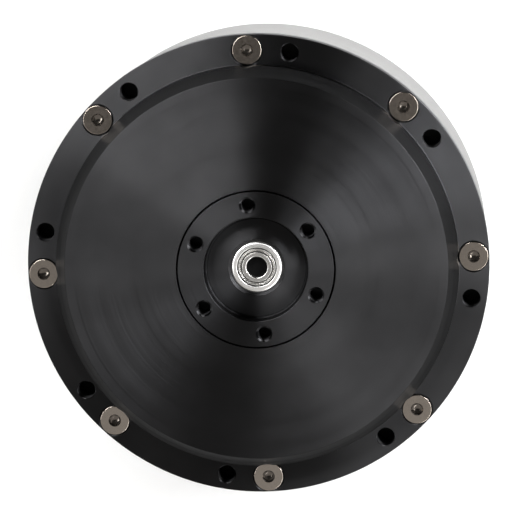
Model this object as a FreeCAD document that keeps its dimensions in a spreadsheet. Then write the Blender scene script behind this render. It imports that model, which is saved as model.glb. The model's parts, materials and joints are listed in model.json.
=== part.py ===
# Robot joint actuator: an outer-rotor motor and a planetary gear stage in one flat round housing.
#
# +Z is the output axis. z = 0 is the rear cover's outer face and the output face is on top.
# The motor (stator, rotor) fills the barrel, the gear stage hangs in the front cover, and the
# driver board lies under the rear cover. Sizes are in millimetres and degrees.
import FreeCAD, Part
import math
import os
import re

import Sketcher
from FreeCAD import Placement, Rotation, Vector

doc = FreeCAD.newDocument("JointActuator")

# ---------------------------------------------------------------------------------------------
# Driving dimensions
# ---------------------------------------------------------------------------------------------
SIZES = [
    # housing, seen from the front
    ("rim_thick", 3.0),
    ("rim_edge", 3.0),              # from the bolt circle out to the rim's edge
    ("bolt_count", 8),              # cover screws and mounting holes share one circle
    ("mount_hole_dia", 3.42),        # core of an M4 thread
    ("mount_hole_angle", 11.25),     # mounting holes lie this angle before the cover screws
    ("mount_hole_deep", 8.0),
    ("shoulder_rise", 3.0),         # upright wall inside the rim
    ("shoulder_inset", 2.8),        # from the bolt circle in to that wall
    ("bevel_wide", 2.0),            # between the wall and the flat front face
    ("plateau_rise", 5.8),
    ("front_wall", 3.3),            # thickness of the cover's front web
    ("shell_wall", 2.5),            # thickness of the wall behind the bevel
    ("lip_gap", 0.25),              # gap line between the cover's lip and the output hub
    ("lip_thick", 1.7),
    ("spigot_long", 2.5),
    ("spigot_gap", 0.05),
    ("boss_wall", 3.0),             # round the output bearing
    ("skirt_wall", 2.8),            # round the ring gear
    ("skirt_lap", 0.8),             # the skirt reaches this far below the ring gear
    ("skirt_gap", 2.9),             # trough between the skirt and the shell
    # barrel
    ("rim_overhang", 0.85),         # the rim stands this far out past the barrel
    ("barrel_wall", 3.05),
    ("collar_wall", 4.5),           # thicker where the screws go in
    ("collar_long", 7.5),
    ("bulkhead", 2.4),
    ("edge_break", 0.4),
    ("tube_dia", 21.0),             # bearing tube on the bulkhead
    # rear cover and the electronics bay
    ("rear_step", 1.85),            # the rear cover is this much inside the barrel
    ("rear_floor", 1.8),
    ("rear_wall", 1.6),
    ("rear_bevel", 1.2),
    ("rear_bolt_inset", 3.8),       # from the rear cover's edge in to its screws
    ("rear_bolt_count", 6),
    ("rear_boss_dia", 6.4),
    ("window_wide", 28.0),          # opening for the sockets
    ("sill_step", 0.2),             # the opening's sill above the floor
    # fasteners
    ("screw_dia", 3.0),
    ("screw_head_dia", 5.6),
    ("screw_long", 7.5),
    ("screw_pocket_dia", 6.2),
    ("screw_pocket_deep", 0.1),
    ("screw_hole_dia", 3.1),
    ("screw_gap", 0.1),
    ("screw_run_out", 0.5),
    ("small_screw_dia", 2.5),
    ("small_head_dia", 4.5),
    ("small_head_high", 1.5),
    ("tiny_screw_dia", 2.0),
    ("tiny_head_dia", 3.6),
    ("tiny_head_high", 0.8),
    # output hub and planet carrier
    ("output_proud", 0.1),
    ("output_angle", 34.5),          # angle of the first output hole at rest
    ("output_bolt_circle", 25.0),
    ("output_bolt_count", 6),
    ("output_hole_dia", 2.5),
    ("output_hole_deep", 6.0),
    ("output_hole_bevel", 0.35),
    ("recess_dia", 20.0),
    ("recess_deep", 2.8),
    ("recess_corner", 1.4),         # height and width of the rounded corner of the recess
    ("recess_bevel", 0.15),
    ("pocket_bevel", 0.5),
    ("hub_shoulder", 0.4),
    ("hub_shoulder_wide", 1.6),
    ("carrier_dia", 49.0),
    ("carrier_front", 3.2),
    ("carrier_rear", 2.0),
    ("carrier_bore", 8.4),
    ("post_dia", 6.6),
    ("post_circle", 41.0),
    # bearings: bore, outside, width and ring thickness
    ("big_bore", 30.0),
    ("big_outside", 42.0),
    ("big_width", 7.0),
    ("big_ring", 1.7),
    ("ball_row_inset", 1.2),
    ("rotor_bore", 8.0),
    ("rotor_outside", 16.0),
    ("rotor_width", 5.0),
    ("rotor_ring", 1.3),
    ("nose_bore", 4.0),
    ("nose_outside", 10.0),
    ("nose_width", 4.0),
    ("nose_outer_ring", 1.2),
    ("nose_inner_ring", 0.85),
    ("nose_sunk", 0.3),             # bearing face below the recess floor
    ("shield_sunk", 0.15),
    ("shield_thick", 0.2),
    ("bearing_gap", 0.1),
    # gears
    ("gear_module", 0.5),
    ("sun_teeth", 12),
    ("planet_teeth", 48),
    ("planet_count", 3),
    ("pressure_angle", 20.0),
    ("tooth_top", 0.8),             # tooth height outside the pitch line, in modules
    ("tooth_foot", 1.1),
    ("tooth_slack", 0.06),
    ("gear_width", 7.1),
    ("gear_end_gap", 0.3),
    ("ring_wall", 2.95),            # behind the ring gear's teeth
    ("ring_pin_dia", 2.5),
    ("ring_pin_angle", 45.0),
    ("ring_pin_count", 3),
    ("ring_ledge", 0.65),           # shoulder above the ring gear stands clear of the teeth
    ("planet_pin_dia", 5.0),
    ("bush_wall", 1.0),
    ("bush_slack", 0.03),
    ("pin_deep", 2.0),
    # rotor
    ("rotor_gap", 1.0),             # rotor to barrel
    ("iron_thick", 1.8),
    ("magnet_thick", 2.2),
    ("magnet_count", 42),
    ("magnet_wide", 4.6),
    ("magnet_long", 9.6),
    ("air_gap", 0.6),
    ("web_thick", 1.6),
    ("web_seat", 0.8),
    ("web_gap", 1.8),
    ("plate_gap", 0.6),
    ("window_inner_dia", 28.0),
    ("window_outer_dia", 62.0),
    ("spoke_count", 6),
    ("spoke_wide", 7.0),
    ("flange_dia", 15.2),
    ("flange_thick", 1.6),
    ("flange_neck", 0.5),
    ("shaft_nose_sunk", 1.6),
    ("shaft_tail", 0.5),
    ("tail_magnet_dia", 6.0),
    ("tail_magnet_thick", 2.5),
    ("pilot_step", 0.5),
    # stator
    ("slot_count", 36),
    ("stack_long", 7.6),
    ("yoke_thick", 2.8),
    ("tooth_wide", 2.6),
    ("tooth_tip_wide", 5.0),
    ("tooth_tip_thick", 0.9),
    ("tooth_long", 7.4),            # from the yoke to the air gap
    ("coil_wall", 0.9),
    ("coil_end", 2.3),
    ("coil_inset", 0.35),
    ("stator_lift", 0.6),
    ("stator_web", 2.0),
    ("stator_rim", 2.2),
    ("stator_ledge", 0.8),
    ("rear_lip", 1.4),
    ("rear_lip_bore", 13.0),
    # electronics
    ("board_clear", 1.8),           # from the board's edge to the screw bosses
    ("board_thick", 1.6),
    ("board_gap", 3.4),             # board to bulkhead
    ("board_bolt_inset", 5.0),      # from the board's edge in to its screws
    ("board_bolt_angle", 45.0),
    ("board_bolt_count", 4),
    ("standoff_across", 4.5),
    ("fet_long", 5.0),
    ("fet_wide", 4.0),
    ("fet_high", 1.0),
    ("fet_count", 6),
    ("fet_circle", 46.0),
    ("cap_long", 5.6),
    ("cap_angle", 15.0),
    ("cap_wide", 5.0),
    ("cap_high", 2.6),
    ("cap_count", 4),
    ("chip_side", 7.0),
    ("chip_high", 0.9),
    ("socket_high", 5.2),
    ("socket_deep", 8.0),
    ("socket_clear", 0.4),          # above the opening's sill
    ("socket_drop", 1.5),           # below the board's rear face
    ("socket_sunk", 0.3),
    ("socket_wall", 0.7),
    ("power_wide", 10.6),
    ("power_pin_dia", 2.0),
    ("power_pin_pitch", 5.0),
    ("signal_wide", 6.4),
    ("signal_step", 9.9),
    ("signal_pin_side", 0.5),
    ("signal_pin_count", 4),
    ("lead_thick", 1.0),
    ("lead_wide", 3.0),
    ("lead_inset", 2.0),            # from the board's edge in to the phase leads
    ("lead_count", 3),
    ("lead_angle", 75.0),
    ("lead_gap", 0.6),
]

sheet = doc.addObject("Spreadsheet::Sheet", "Sizes")
for row, (alias, number) in enumerate(SIZES, 1):
    sheet.set(f"A{row}", alias)
    sheet.set(f"B{row}", str(number))
    sheet.setAlias(f"B{row}", alias)
doc.recompute()

# ---------------------------------------------------------------------------------------------
# Heights and radii that follow from them
# ---------------------------------------------------------------------------------------------
PLACES = [
    # heights, from the rear cover upwards
    ("window_sill", "rear_floor + sill_step"),
    ("socket_bottom", "window_sill + socket_clear"),
    ("board_bottom", "socket_bottom + socket_drop"),
    ("board_top", "board_bottom + board_thick"),
    ("rear_height", "board_top + board_gap"),
    ("fet_bottom", "board_bottom - fet_high"),
    ("bulkhead_top", "rear_height + bulkhead"),
    ("coil_bottom", "bulkhead_top + stator_lift"),
    ("stack_bottom", "coil_bottom + coil_end"),
    ("stack_top", "stack_bottom + stack_long"),
    ("coil_top", "stack_top + coil_end"),
    ("web_bottom", "coil_top + web_gap"),
    ("web_top", "web_bottom + web_thick"),
    ("flange_top", "web_top - web_seat"),
    ("flange_bottom", "flange_top - flange_thick"),
    ("tube_top", "flange_bottom - flange_neck"),
    ("front_race", "tube_top - rotor_width"),
    ("rear_race", "rear_height + rear_lip"),
    ("shaft_rear", "rear_race - shaft_tail"),
    ("rear_plate", "web_top + plate_gap"),
    ("rear_plate_top", "rear_plate + carrier_rear"),
    ("gear_bottom", "rear_plate_top + gear_end_gap"),
    ("gear_top", "gear_bottom + gear_width"),
    ("front_plate", "gear_top + gear_end_gap"),
    ("front_plate_top", "front_plate + carrier_front"),
    ("big_bottom", "front_plate_top + hub_shoulder"),
    ("big_top", "big_bottom + big_width"),
    ("plateau", "big_top + lip_thick"),
    ("output_face", "plateau + output_proud"),
    ("rim_face", "plateau - plateau_rise"),
    ("barrel_top", "rim_face - rim_thick"),
    ("web_under", "plateau - front_wall"),
    ("shoulder_top", "rim_face + shoulder_rise"),
    ("collar_bottom", "barrel_top - collar_long"),
    ("recess_floor", "output_face - recess_deep"),
    ("nose_top", "recess_floor - nose_sunk"),
    ("nose_bottom", "nose_top - nose_width"),
    ("skirt_bottom", "gear_bottom - skirt_lap"),
    ("magnet_bottom", "(stack_bottom + stack_top - magnet_long) / 2"),
    # radii of the gear stage and, from it, of the housing
    ("ring_teeth", "2 * planet_teeth + sun_teeth"),
    ("orbit_r", "gear_module * (sun_teeth + planet_teeth) / 2"),
    ("ring_foot_r", "gear_module * (ring_teeth / 2 + tooth_foot)"),
    ("ledge_r", "ring_foot_r + ring_ledge"),
    ("ring_r", "ring_foot_r + ring_wall"),
    ("skirt_r", "ring_r + skirt_wall"),
    ("shell_r", "skirt_r + skirt_gap"),
    ("shoulder_r", "shell_r + shell_wall"),
    ("plateau_r", "shoulder_r - bevel_wide"),
    ("bolt_r", "shoulder_r + shoulder_inset"),
    ("rim_r", "bolt_r + rim_edge"),
    ("barrel_r", "rim_r - rim_overhang"),
    ("rear_r", "barrel_r - rear_step"),
    ("rear_bolt_r", "rear_r - rear_bolt_inset"),
    ("board_r", "rear_bolt_r - rear_boss_dia / 2 - board_clear"),
    ("board_bolt_r", "board_r - board_bolt_inset"),
    ("lead_r", "board_r - lead_inset"),
    # radii of the motor, from the barrel inwards
    ("barrel_bore_r", "barrel_r - barrel_wall"),
    ("collar_r", "barrel_r - collar_wall"),
    ("rotor_r", "barrel_bore_r - rotor_gap"),
    ("iron_r", "rotor_r - iron_thick"),
    ("magnet_r", "iron_r - magnet_thick"),
    ("stator_r", "magnet_r - air_gap"),
    ("slot_r", "stator_r - tooth_long"),
    ("yoke_r", "slot_r - yoke_thick"),
    ("hub_r", "big_bore / 2"),
    ("big_r", "big_outside / 2"),
    ("boss_r", "big_r + boss_wall"),
    ("tube_r", "tube_dia / 2"),
    ("race_r", "rotor_outside / 2"),
    ("shaft_r", "rotor_bore / 2"),
    ("nose_r", "nose_bore / 2"),
    ("carrier_r", "carrier_dia / 2"),
    ("first_planet", "output_angle + 180 / output_bolt_count"),
    ("first_post", "first_planet + 180 / planet_count"),
    ("pin_r", "planet_pin_dia / 2"),
    ("bush_r", "pin_r + bush_slack + bush_wall"),
    ("pilot_r", "shaft_r + pilot_step"),
    ("socket_back", "rear_r - socket_sunk - socket_deep"),
]

places = doc.addObject("App::VarSet", "Places")
PLACE_NAMES = [name for name, _ in PLACES]
SIZE_NAMES = [name for name, _ in SIZES]


def bound(text):
    """Write each size or place in an expression with the object that holds it."""
    def owner(match):
        word = match.group()
        if word in PLACE_NAMES:
            return "Places." + word
        return "Sizes." + word if word in SIZE_NAMES else word
    return re.sub(r"[A-Za-z_]+", owner, text)


for place, formula in PLACES:
    places.addProperty("App::PropertyFloat", place)
    places.setExpression(place, bound(formula))
    doc.recompute()


def value(text):
    """The number that an expression of sizes and places has now."""
    return float(places.evalExpression(bound(text)))


# ---------------------------------------------------------------------------------------------
# Ways of making a piece
# ---------------------------------------------------------------------------------------------
def piece(label):
    body = doc.addObject("PartDesign::Body", label)
    body.Label = label
    body.AllowCompound = True
    return body


def flat_sketch(body, name, height="0", plane="XY_Plane"):
    """A sketch on one of the body's own planes, lifted to a height."""
    sketch = body.newObject("Sketcher::SketchObject", name)
    origin = [feature for feature in body.Origin.OriginFeatures if feature.Role == plane][0]
    sketch.AttachmentSupport = [(origin, "")]
    sketch.MapMode = "FlatFace"
    if height != "0":
        sketch.setExpression("AttachmentOffset.Base.z", bound(height))
    return sketch


def turned_sketch(body, name, height, angle):
    """A flat sketch whose x axis points at an angle round the output axis."""
    sketch = flat_sketch(body, name, height)
    sketch.setExpression("AttachmentOffset.Rotation.Angle", bound(f"({angle}) * 1deg"))
    doc.recompute()
    return sketch


def pin_down(sketch, geometry, point, x, y):
    """Tie a point of a sketch to two expressions."""
    for kind, text, on_axis in (("DistanceX", x, -2), ("DistanceY", y, -1)):
        if text == "0":
            sketch.addConstraint(Sketcher.Constraint("PointOnObject", geometry, point, on_axis))
            continue
        index = sketch.addConstraint(
            Sketcher.Constraint(kind, -1, 1, geometry, point, value(text)))
        sketch.setExpression(f"Constraints[{index}]", bound(text))


def outline(sketch, points):
    """A closed outline of straight lines through points given as pairs of expressions."""
    corners = [Vector(value(x), value(y), 0) for x, y in points]
    first = sketch.GeometryCount
    count = len(points)
    for i, corner in enumerate(corners):
        sketch.addGeometry(Part.LineSegment(corner, corners[(i + 1) % count]), False)
    for i in range(count):
        follower = first + (i + 1) % count
        sketch.addConstraint(Sketcher.Constraint("Coincident", first + i, 2, follower, 1))
    for i, (x, y) in enumerate(points):
        pin_down(sketch, first + i, 1, x, y)


def circle(sketch, x, y, diameter):
    centre = Vector(value(x), value(y), 0)
    index = sketch.addGeometry(Part.Circle(centre, Vector(0, 0, 1), value(diameter) / 2), False)
    pin_down(sketch, index, 3, x, y)
    size = sketch.addConstraint(Sketcher.Constraint("Diameter", index, value(diameter)))
    sketch.setExpression(f"Constraints[{size}]", bound(diameter))


def rectangle(sketch, x_low, x_high, y_low, y_high):
    outline(sketch, [(x_low, y_low), (x_high, y_low), (x_high, y_high), (x_low, y_high)])


def turn(body, name, points, cut=False):
    """Turn an outline of (radius, height) pairs about the output axis."""
    sketch = flat_sketch(body, name + "_outline", plane="XZ_Plane")
    outline(sketch, points)
    kind = "PartDesign::Groove" if cut else "PartDesign::Revolution"
    feature = body.newObject(kind, name)
    feature.Profile = sketch
    feature.ReferenceAxis = (sketch, ["V_Axis"])
    feature.Angle = 360
    doc.recompute()
    return feature


def ring(body, name, inner, outer, bottom, top):
    return turn(body, name, [(inner, bottom), (outer, bottom), (outer, top), (inner, top)])


def pad(body, name, sketch, height):
    feature = body.newObject("PartDesign::Pad", name)
    feature.Profile = sketch
    feature.setExpression("Length", bound(height))
    doc.recompute()
    return feature


def pocket(body, name, sketch, depth):
    """Cut downwards from a sketch."""
    feature = body.newObject("PartDesign::Pocket", name)
    feature.Profile = sketch
    feature.setExpression("Length", bound(depth))
    doc.recompute()
    return feature


def around(body, name, features, count):
    """Repeat features evenly round the output axis."""
    axis = [item for item in body.Origin.OriginFeatures if item.Role == "Z_Axis"][0]
    pattern = body.newObject("PartDesign::PolarPattern", name)
    pattern.Originals = features
    pattern.Axis = (axis, [""])
    pattern.Angle = 360
    pattern.setExpression("Occurrences", bound(count))
    body.Tip = pattern
    doc.recompute()
    return pattern


def polar(radius, angle):
    """A place on a circle, as a pair of expressions."""
    return f"({radius}) * cos(({angle}) * 1deg)", f"({radius}) * sin(({angle}) * 1deg)"


def bevel_hole(body, name, top, circle_r, angle, wide, narrow):
    """A countersink: a pocket that closes in at 45 degrees."""
    sketch = flat_sketch(body, name + "_sketch", top)
    circle(sketch, *polar(circle_r, angle), wide)
    cone = pocket(body, name, sketch, f"({wide} - {narrow}) / 2")
    cone.TaperAngle = -45
    doc.recompute()
    return cone


def round_hole(body, name, top, depth, circle_r, angle, diameter):
    sketch = flat_sketch(body, name + "_sketch", top)
    circle(sketch, *polar(circle_r, angle), diameter)
    return pocket(body, name, sketch, depth)


def upwards(feature):
    """Point a pocket or a pad the other way."""
    feature.Reversed = not feature.Reversed
    doc.recompute()
    return feature


def hexagon(sketch, x, across):
    """A hexagon on the x axis, its corners tied to its size across the flats."""
    corners = []
    for number in range(6):
        dx, dy = polar(f"{across} / sqrt(3)", str(60 * number + 30))
        corners.append((f"{x} + {dx}", dy))
    outline(sketch, corners)


def countersunk_screws(label, head_face, points_up, circle_r, angle, count, sizes, land="0"):
    """Flat-head screws round the axis. sizes are the shank and head diameters and the length."""
    shank_dia, head_dia, long = sizes
    sign = "+" if points_up else "-"
    body = piece(label)
    cone_long = f"({head_dia} - {shank_dia}) / 2"
    steps = []
    if land != "0":
        sketch = flat_sketch(body, "land_sketch", head_face)
        circle(sketch, *polar(circle_r, angle), head_dia)
        steps.append(pad(body, "land", sketch, land))
    sketch = flat_sketch(body, "cone_sketch", f"({head_face}) {sign} ({land})")
    circle(sketch, *polar(circle_r, angle), head_dia)
    steps.append(pad(body, "cone", sketch, cone_long))
    steps[-1].TaperAngle = -45
    sketch = flat_sketch(body, "shank_sketch", f"({head_face}) {sign} ({land}) {sign} {cone_long}")
    circle(sketch, *polar(circle_r, angle), shank_dia)
    steps.append(pad(body, "shank", sketch, f"{long} - ({land}) - {cone_long}"))
    if not points_up:
        for step in steps:
            step.Reversed = True
    doc.recompute()
    around(body, "screw_ring", steps, count)
    return body


# ---------------------------------------------------------------------------------------------
# Housing
# ---------------------------------------------------------------------------------------------
def front_cover():
    """The black cover: rim, upright wall, bevel and flat face, with the gear skirt behind it."""
    body = piece("front_cover")
    turn(body, "cover", [
        ("hub_r + lip_gap", "plateau"),
        ("hub_r + lip_gap", "big_top"),
        ("big_r", "big_top"),
        ("big_r", "big_bottom"),
        ("boss_r", "big_bottom"),
        ("boss_r", "web_under"),
        ("ledge_r", "web_under"),
        ("ledge_r", "gear_top"),
        ("ring_r", "gear_top"),
        ("ring_r", "skirt_bottom"),
        ("skirt_r", "skirt_bottom"),
        ("skirt_r", "web_under"),
        ("shell_r", "web_under"),
        ("shell_r", "barrel_top - spigot_long"),
        ("collar_r - spigot_gap", "barrel_top - spigot_long"),
        ("collar_r - spigot_gap", "barrel_top"),
        ("rim_r", "barrel_top"),
        ("rim_r", "rim_face"),
        ("shoulder_r", "rim_face"),
        ("shoulder_r", "shoulder_top"),
        ("plateau_r", "plateau"),
    ])
    slot = round_hole(body, "pin_slot", "gear_top", "gear_top - skirt_bottom",
                      "ring_r", "ring_pin_angle", "ring_pin_dia")
    around(body, "pin_slots", [slot], "ring_pin_count")
    cutter = flat_sketch(body, "screw_seat_outline", plane="XZ_Plane")
    cutter.setExpression("AttachmentOffset.Base.x", bound("bolt_r"))
    shank = "screw_hole_dia / 2"
    pocket_floor = "rim_face - screw_pocket_deep"
    outline(cutter, [
        ("0", "barrel_top - screw_gap"),
        (shank, "barrel_top - screw_gap"),
        (shank, f"{pocket_floor} - (screw_pocket_dia / 2 - ({shank}))"),
        ("screw_pocket_dia / 2", pocket_floor),
        ("screw_pocket_dia / 2", "plateau"),
        ("0", "plateau"),
    ])
    seat = body.newObject("PartDesign::Groove", "screw_seat")
    seat.Profile = cutter
    seat.ReferenceAxis = (cutter, ["V_Axis"])
    seat.Angle = 360
    doc.recompute()
    around(body, "screw_seats", [seat], "bolt_count")
    mount = round_hole(body, "mount_hole", "rim_face", "rim_thick", "bolt_r",
                       "-mount_hole_angle", "mount_hole_dia")
    around(body, "mount_holes", [mount], "bolt_count")
    return body


def barrel():
    """The silver barrel: one turned piece with its bulkhead and the bearing tube."""
    body = piece("barrel")
    turn(body, "shell", [
        ("rear_lip_bore / 2", "rear_height"),
        ("barrel_r - edge_break", "rear_height"),
        ("barrel_r", "rear_height + edge_break"),
        ("barrel_r", "barrel_top"),
        ("collar_r", "barrel_top"),
        ("collar_r", "collar_bottom"),
        ("barrel_bore_r", "collar_bottom - (barrel_bore_r - collar_r)"),
        ("barrel_bore_r", "bulkhead_top"),
        ("tube_r", "bulkhead_top"),
        ("tube_r", "tube_top"),
        ("race_r", "tube_top"),
        ("race_r", "rear_race"),
        ("rear_lip_bore / 2", "rear_race"),
    ])
    screw = round_hole(body, "screw_hole", "barrel_top", "screw_long - rim_thick + screw_run_out",
                       "bolt_r", "0", "screw_dia")
    around(body, "screw_holes", [screw], "bolt_count")
    mount = round_hole(body, "mount_hole", "barrel_top", "mount_hole_deep - rim_thick",
                       "bolt_r", "-mount_hole_angle", "mount_hole_dia")
    around(body, "mount_holes", [mount], "bolt_count")
    rear = round_hole(body, "rear_screw_hole", "bulkhead_top", "bulkhead", "rear_bolt_r", "0",
                      "small_screw_dia")
    around(body, "rear_screw_holes", [rear], "rear_bolt_count")
    sketch = turned_sketch(body, "lead_slot_sketch", "bulkhead_top", "lead_angle")
    rectangle(sketch, *lead_outline("lead_gap"))
    lead = pocket(body, "lead_slot", sketch, "bulkhead")
    around(body, "lead_slots", [lead], "lead_count")
    return body


def rear_cover():
    """The dished rear cover over the driver board, open at one side for the sockets."""
    body = piece("rear_cover")
    turn(body, "dish", [
        ("0", "0"),
        ("rear_r - rear_bevel", "0"),
        ("rear_r", "rear_bevel"),
        ("rear_r", "rear_height"),
        ("rear_r - rear_wall", "rear_height"),
        ("rear_r - rear_wall", "rear_floor"),
        ("0", "rear_floor"),
    ])
    sketch = flat_sketch(body, "boss_sketch", "rear_floor")
    circle(sketch, *polar("rear_bolt_r", "0"), "rear_boss_dia")
    boss = pad(body, "boss", sketch, "rear_height - rear_floor")
    around(body, "bosses", [boss], "rear_bolt_count")
    seat = upwards(round_hole(body, "screw_seat", "0", "small_head_high", "rear_bolt_r", "0",
                              "small_head_dia + 2 * screw_gap"))
    hole = round_hole(body, "screw_hole", "rear_height", "rear_height", "rear_bolt_r", "0",
                      "small_screw_dia + 2 * screw_gap")
    around(body, "screw_holes", [seat, hole], "rear_bolt_count")
    sketch = flat_sketch(body, "window_sketch", "rear_height")
    rectangle(sketch, "-window_wide / 2", "window_wide / 2", "-rear_r - rear_wall",
              "-socket_back")
    pocket(body, "window", sketch, "rear_height - window_sill")
    return body


def cap_screws(label, head_face, head_high, circle_r, angle, count, sizes):
    """Flat-topped cap screws round the axis, heads down. sizes are as for the countersunk ones,
    with the length under the head."""
    shank_dia, head_dia, long = sizes
    body = piece(label)
    sketch = flat_sketch(body, "head_sketch", head_face)
    circle(sketch, *polar(circle_r, angle), head_dia)
    head = pad(body, "head", sketch, head_high)
    sketch = flat_sketch(body, "shank_sketch", f"({head_face}) + {head_high}")
    circle(sketch, *polar(circle_r, angle), shank_dia)
    shank = pad(body, "shank", sketch, long)
    around(body, "screw_ring", [head, shank], count)
    return body


def fasteners():
    cover = ("screw_dia", "screw_head_dia", "screw_long")
    land = "screw_pocket_deep + (screw_pocket_dia - screw_head_dia) / 2"
    rear = ("small_screw_dia", "small_head_dia",
            "bulkhead_top - small_head_high - screw_run_out")
    board = ("tiny_screw_dia", "tiny_head_dia", "board_thick")
    return [
        countersunk_screws("cover_screws", "rim_face", False, "bolt_r", "0", "bolt_count",
                           cover, land),
        countersunk_screws("carrier_screws", "rear_plate", True, "post_circle / 2", "first_post",
                           "planet_count", cover),
        cap_screws("rear_screws", "0", "small_head_high", "rear_bolt_r", "0", "rear_bolt_count",
                   rear),
        cap_screws("board_screws", "board_bottom - tiny_head_high", "tiny_head_high",
                   "board_bolt_r", "board_bolt_angle",
                   "board_bolt_count", board),
    ]


# ---------------------------------------------------------------------------------------------
# Output hub, carrier and bearings
# ---------------------------------------------------------------------------------------------
def output_flange():
    """Output hub and front carrier plate in one piece, with the posts that tie the rear plate."""
    body = piece("output_flange")
    turn(body, "hub", [
        ("carrier_bore / 2", "front_plate"),
        ("carrier_r", "front_plate"),
        ("carrier_r", "front_plate_top"),
        ("hub_r + hub_shoulder_wide", "front_plate_top"),
        ("hub_r + hub_shoulder_wide", "big_bottom"),
        ("hub_r", "big_bottom"),
        ("hub_r", "output_face - recess_bevel"),
        ("hub_r - recess_bevel", "output_face"),
        ("recess_dia / 2 + recess_bevel", "output_face"),
        ("recess_dia / 2", "output_face - recess_bevel"),
        ("recess_dia / 2", "recess_floor + recess_corner"),
        ("recess_dia / 2 - (1 - cos(45)) * recess_corner", "recess_floor + (1 - cos(45)) * recess_corner"),
        ("recess_dia / 2 - recess_corner", "recess_floor"),
        ("nose_outside / 2 + pocket_bevel", "recess_floor"),
        ("nose_outside / 2", "recess_floor - pocket_bevel"),
        ("nose_outside / 2", "nose_bottom"),
        ("carrier_bore / 2", "nose_bottom"),
    ])
    sketch = flat_sketch(body, "post_sketch", "front_plate")
    circle(sketch, *polar("post_circle / 2", "first_post"), "post_dia")
    post = upwards(pad(body, "post", sketch, "front_plate - rear_plate_top"))
    tapped = round_hole(body, "post_hole", "rear_plate_top", "screw_long - carrier_rear + screw_run_out",
                        "post_circle / 2", "first_post", "screw_dia")
    around(body, "posts", [post, upwards(tapped)], "planet_count")
    pin = upwards(round_hole(body, "pin_hole", "front_plate", "pin_deep", "orbit_r",
                             "first_planet", "planet_pin_dia"))
    around(body, "pin_holes", [pin], "planet_count")
    bevel = bevel_hole(body, "bolt_bevel", "output_face", "output_bolt_circle / 2", "output_angle",
                       "output_hole_dia + 2 * output_hole_bevel", "output_hole_dia")
    hole = round_hole(body, "bolt_hole", "output_face", "output_hole_deep",
                      "output_bolt_circle / 2", "output_angle", "output_hole_dia")
    around(body, "bolt_holes", [bevel, hole], "output_bolt_count")
    return body


def carrier_rear_plate():
    body = piece("carrier_rear_plate")
    ring(body, "plate", "carrier_bore / 2", "carrier_r", "rear_plate", "rear_plate_top")
    pin = round_hole(body, "pin_hole", "rear_plate_top", "carrier_rear", "orbit_r",
                     "first_planet", "planet_pin_dia")
    cone = upwards(bevel_hole(body, "screw_cone", "rear_plate", "post_circle / 2", "first_post",
                              "screw_head_dia", "screw_dia"))
    hole = round_hole(body, "screw_hole", "rear_plate_top", "carrier_rear", "post_circle / 2",
                      "first_post", "screw_dia")
    around(body, "holes", [pin, cone, hole], "planet_count")
    return body


def planet_pins():
    body = piece("planet_pins")
    sketch = flat_sketch(body, "pin_sketch", "rear_plate")
    circle(sketch, *polar("orbit_r", "first_planet"), "planet_pin_dia")
    pin = pad(body, "pin", sketch, "front_plate - rear_plate + pin_deep")
    around(body, "pins", [pin], "planet_count")
    return body


def plain_ring(label, inner, outer, bottom, top):
    body = piece(label)
    ring(body, "ring", inner, outer, bottom, top)
    return body


def bearings():
    """Each bearing as its two rings; the big one also has its ball row, the small one its shield."""
    shield = piece("centre_bearing_shield")
    ring(shield, "disc", "nose_r + nose_inner_ring + bearing_gap",
         "nose_outside / 2 - nose_outer_ring", "nose_top - shield_sunk - shield_thick",
         "nose_top - shield_sunk")
    return [
        plain_ring("output_bearing_outer", "big_r - big_ring", "big_r", "big_bottom", "big_top"),
        plain_ring("output_bearing_inner", "hub_r", "hub_r + big_ring", "big_bottom", "big_top"),
        plain_ring("output_bearing_balls", "hub_r + big_ring + bearing_gap",
                   "big_r - big_ring - bearing_gap", "big_bottom + ball_row_inset",
                   "big_top - ball_row_inset"),
        plain_ring("centre_bearing_outer", "nose_outside / 2 - nose_outer_ring",
                   "nose_outside / 2", "nose_bottom", "nose_top"),
        plain_ring("centre_bearing_inner", "nose_r", "nose_r + nose_inner_ring",
                   "nose_bottom", "nose_top"),
        shield,
        plain_ring("front_rotor_bearing_outer", "race_r - rotor_ring", "race_r",
                   "front_race", "tube_top"),
        plain_ring("front_rotor_bearing_inner", "shaft_r", "shaft_r + rotor_ring",
                   "front_race", "tube_top"),
        plain_ring("rear_rotor_bearing_outer", "race_r - rotor_ring", "race_r",
                   "rear_race", "rear_race + rotor_width"),
        plain_ring("rear_rotor_bearing_inner", "shaft_r", "shaft_r + rotor_ring",
                   "rear_race", "rear_race + rotor_width"),
    ]


# ---------------------------------------------------------------------------------------------
# Gears
# ---------------------------------------------------------------------------------------------
def gear_outline(teeth, steps, phase, internal=False):
    """A toothed outline. Its flanks are chords of the involute of the pitch circle's base circle.

    phase is the angle of one tooth. For a ring gear it is the angle of a tooth space, and the
    outline is that of the hollow, a little larger all round instead of a little smaller.
    """
    module = value("gear_module")
    pitch = module * teeth / 2
    base = pitch * math.cos(math.radians(value("pressure_angle")))
    top, foot = value("tooth_top") * module, value("tooth_foot") * module
    tip, root = (pitch + foot, pitch - top) if internal else (pitch + top, pitch - foot)
    slack = value("tooth_slack") * (1 if internal else -1)
    half_at_pitch = (math.pi * module / 2 + slack) / 2 / pitch

    def involute(radius):
        pressure = math.acos(min(base / radius, 1.0))
        return math.tan(pressure) - pressure

    start = max(root, base)
    radii = [start + (tip - start) * step / steps for step in range(steps + 1)]
    if root < base:
        radii.insert(0, root)
    flank = [(r, half_at_pitch + involute(pitch) - involute(r)) for r in radii]
    tooth = [(r, -half) for r, half in flank] + [(r, half) for r, half in reversed(flank)]
    corners = []
    for number in range(teeth):
        centre = math.radians(phase) + 2 * math.pi * number / teeth
        corners += [Vector(r * math.cos(centre + a), r * math.sin(centre + a), 0) for r, a in tooth]
    return Part.Face(Part.makePolygon(corners + corners[:1]))


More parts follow.
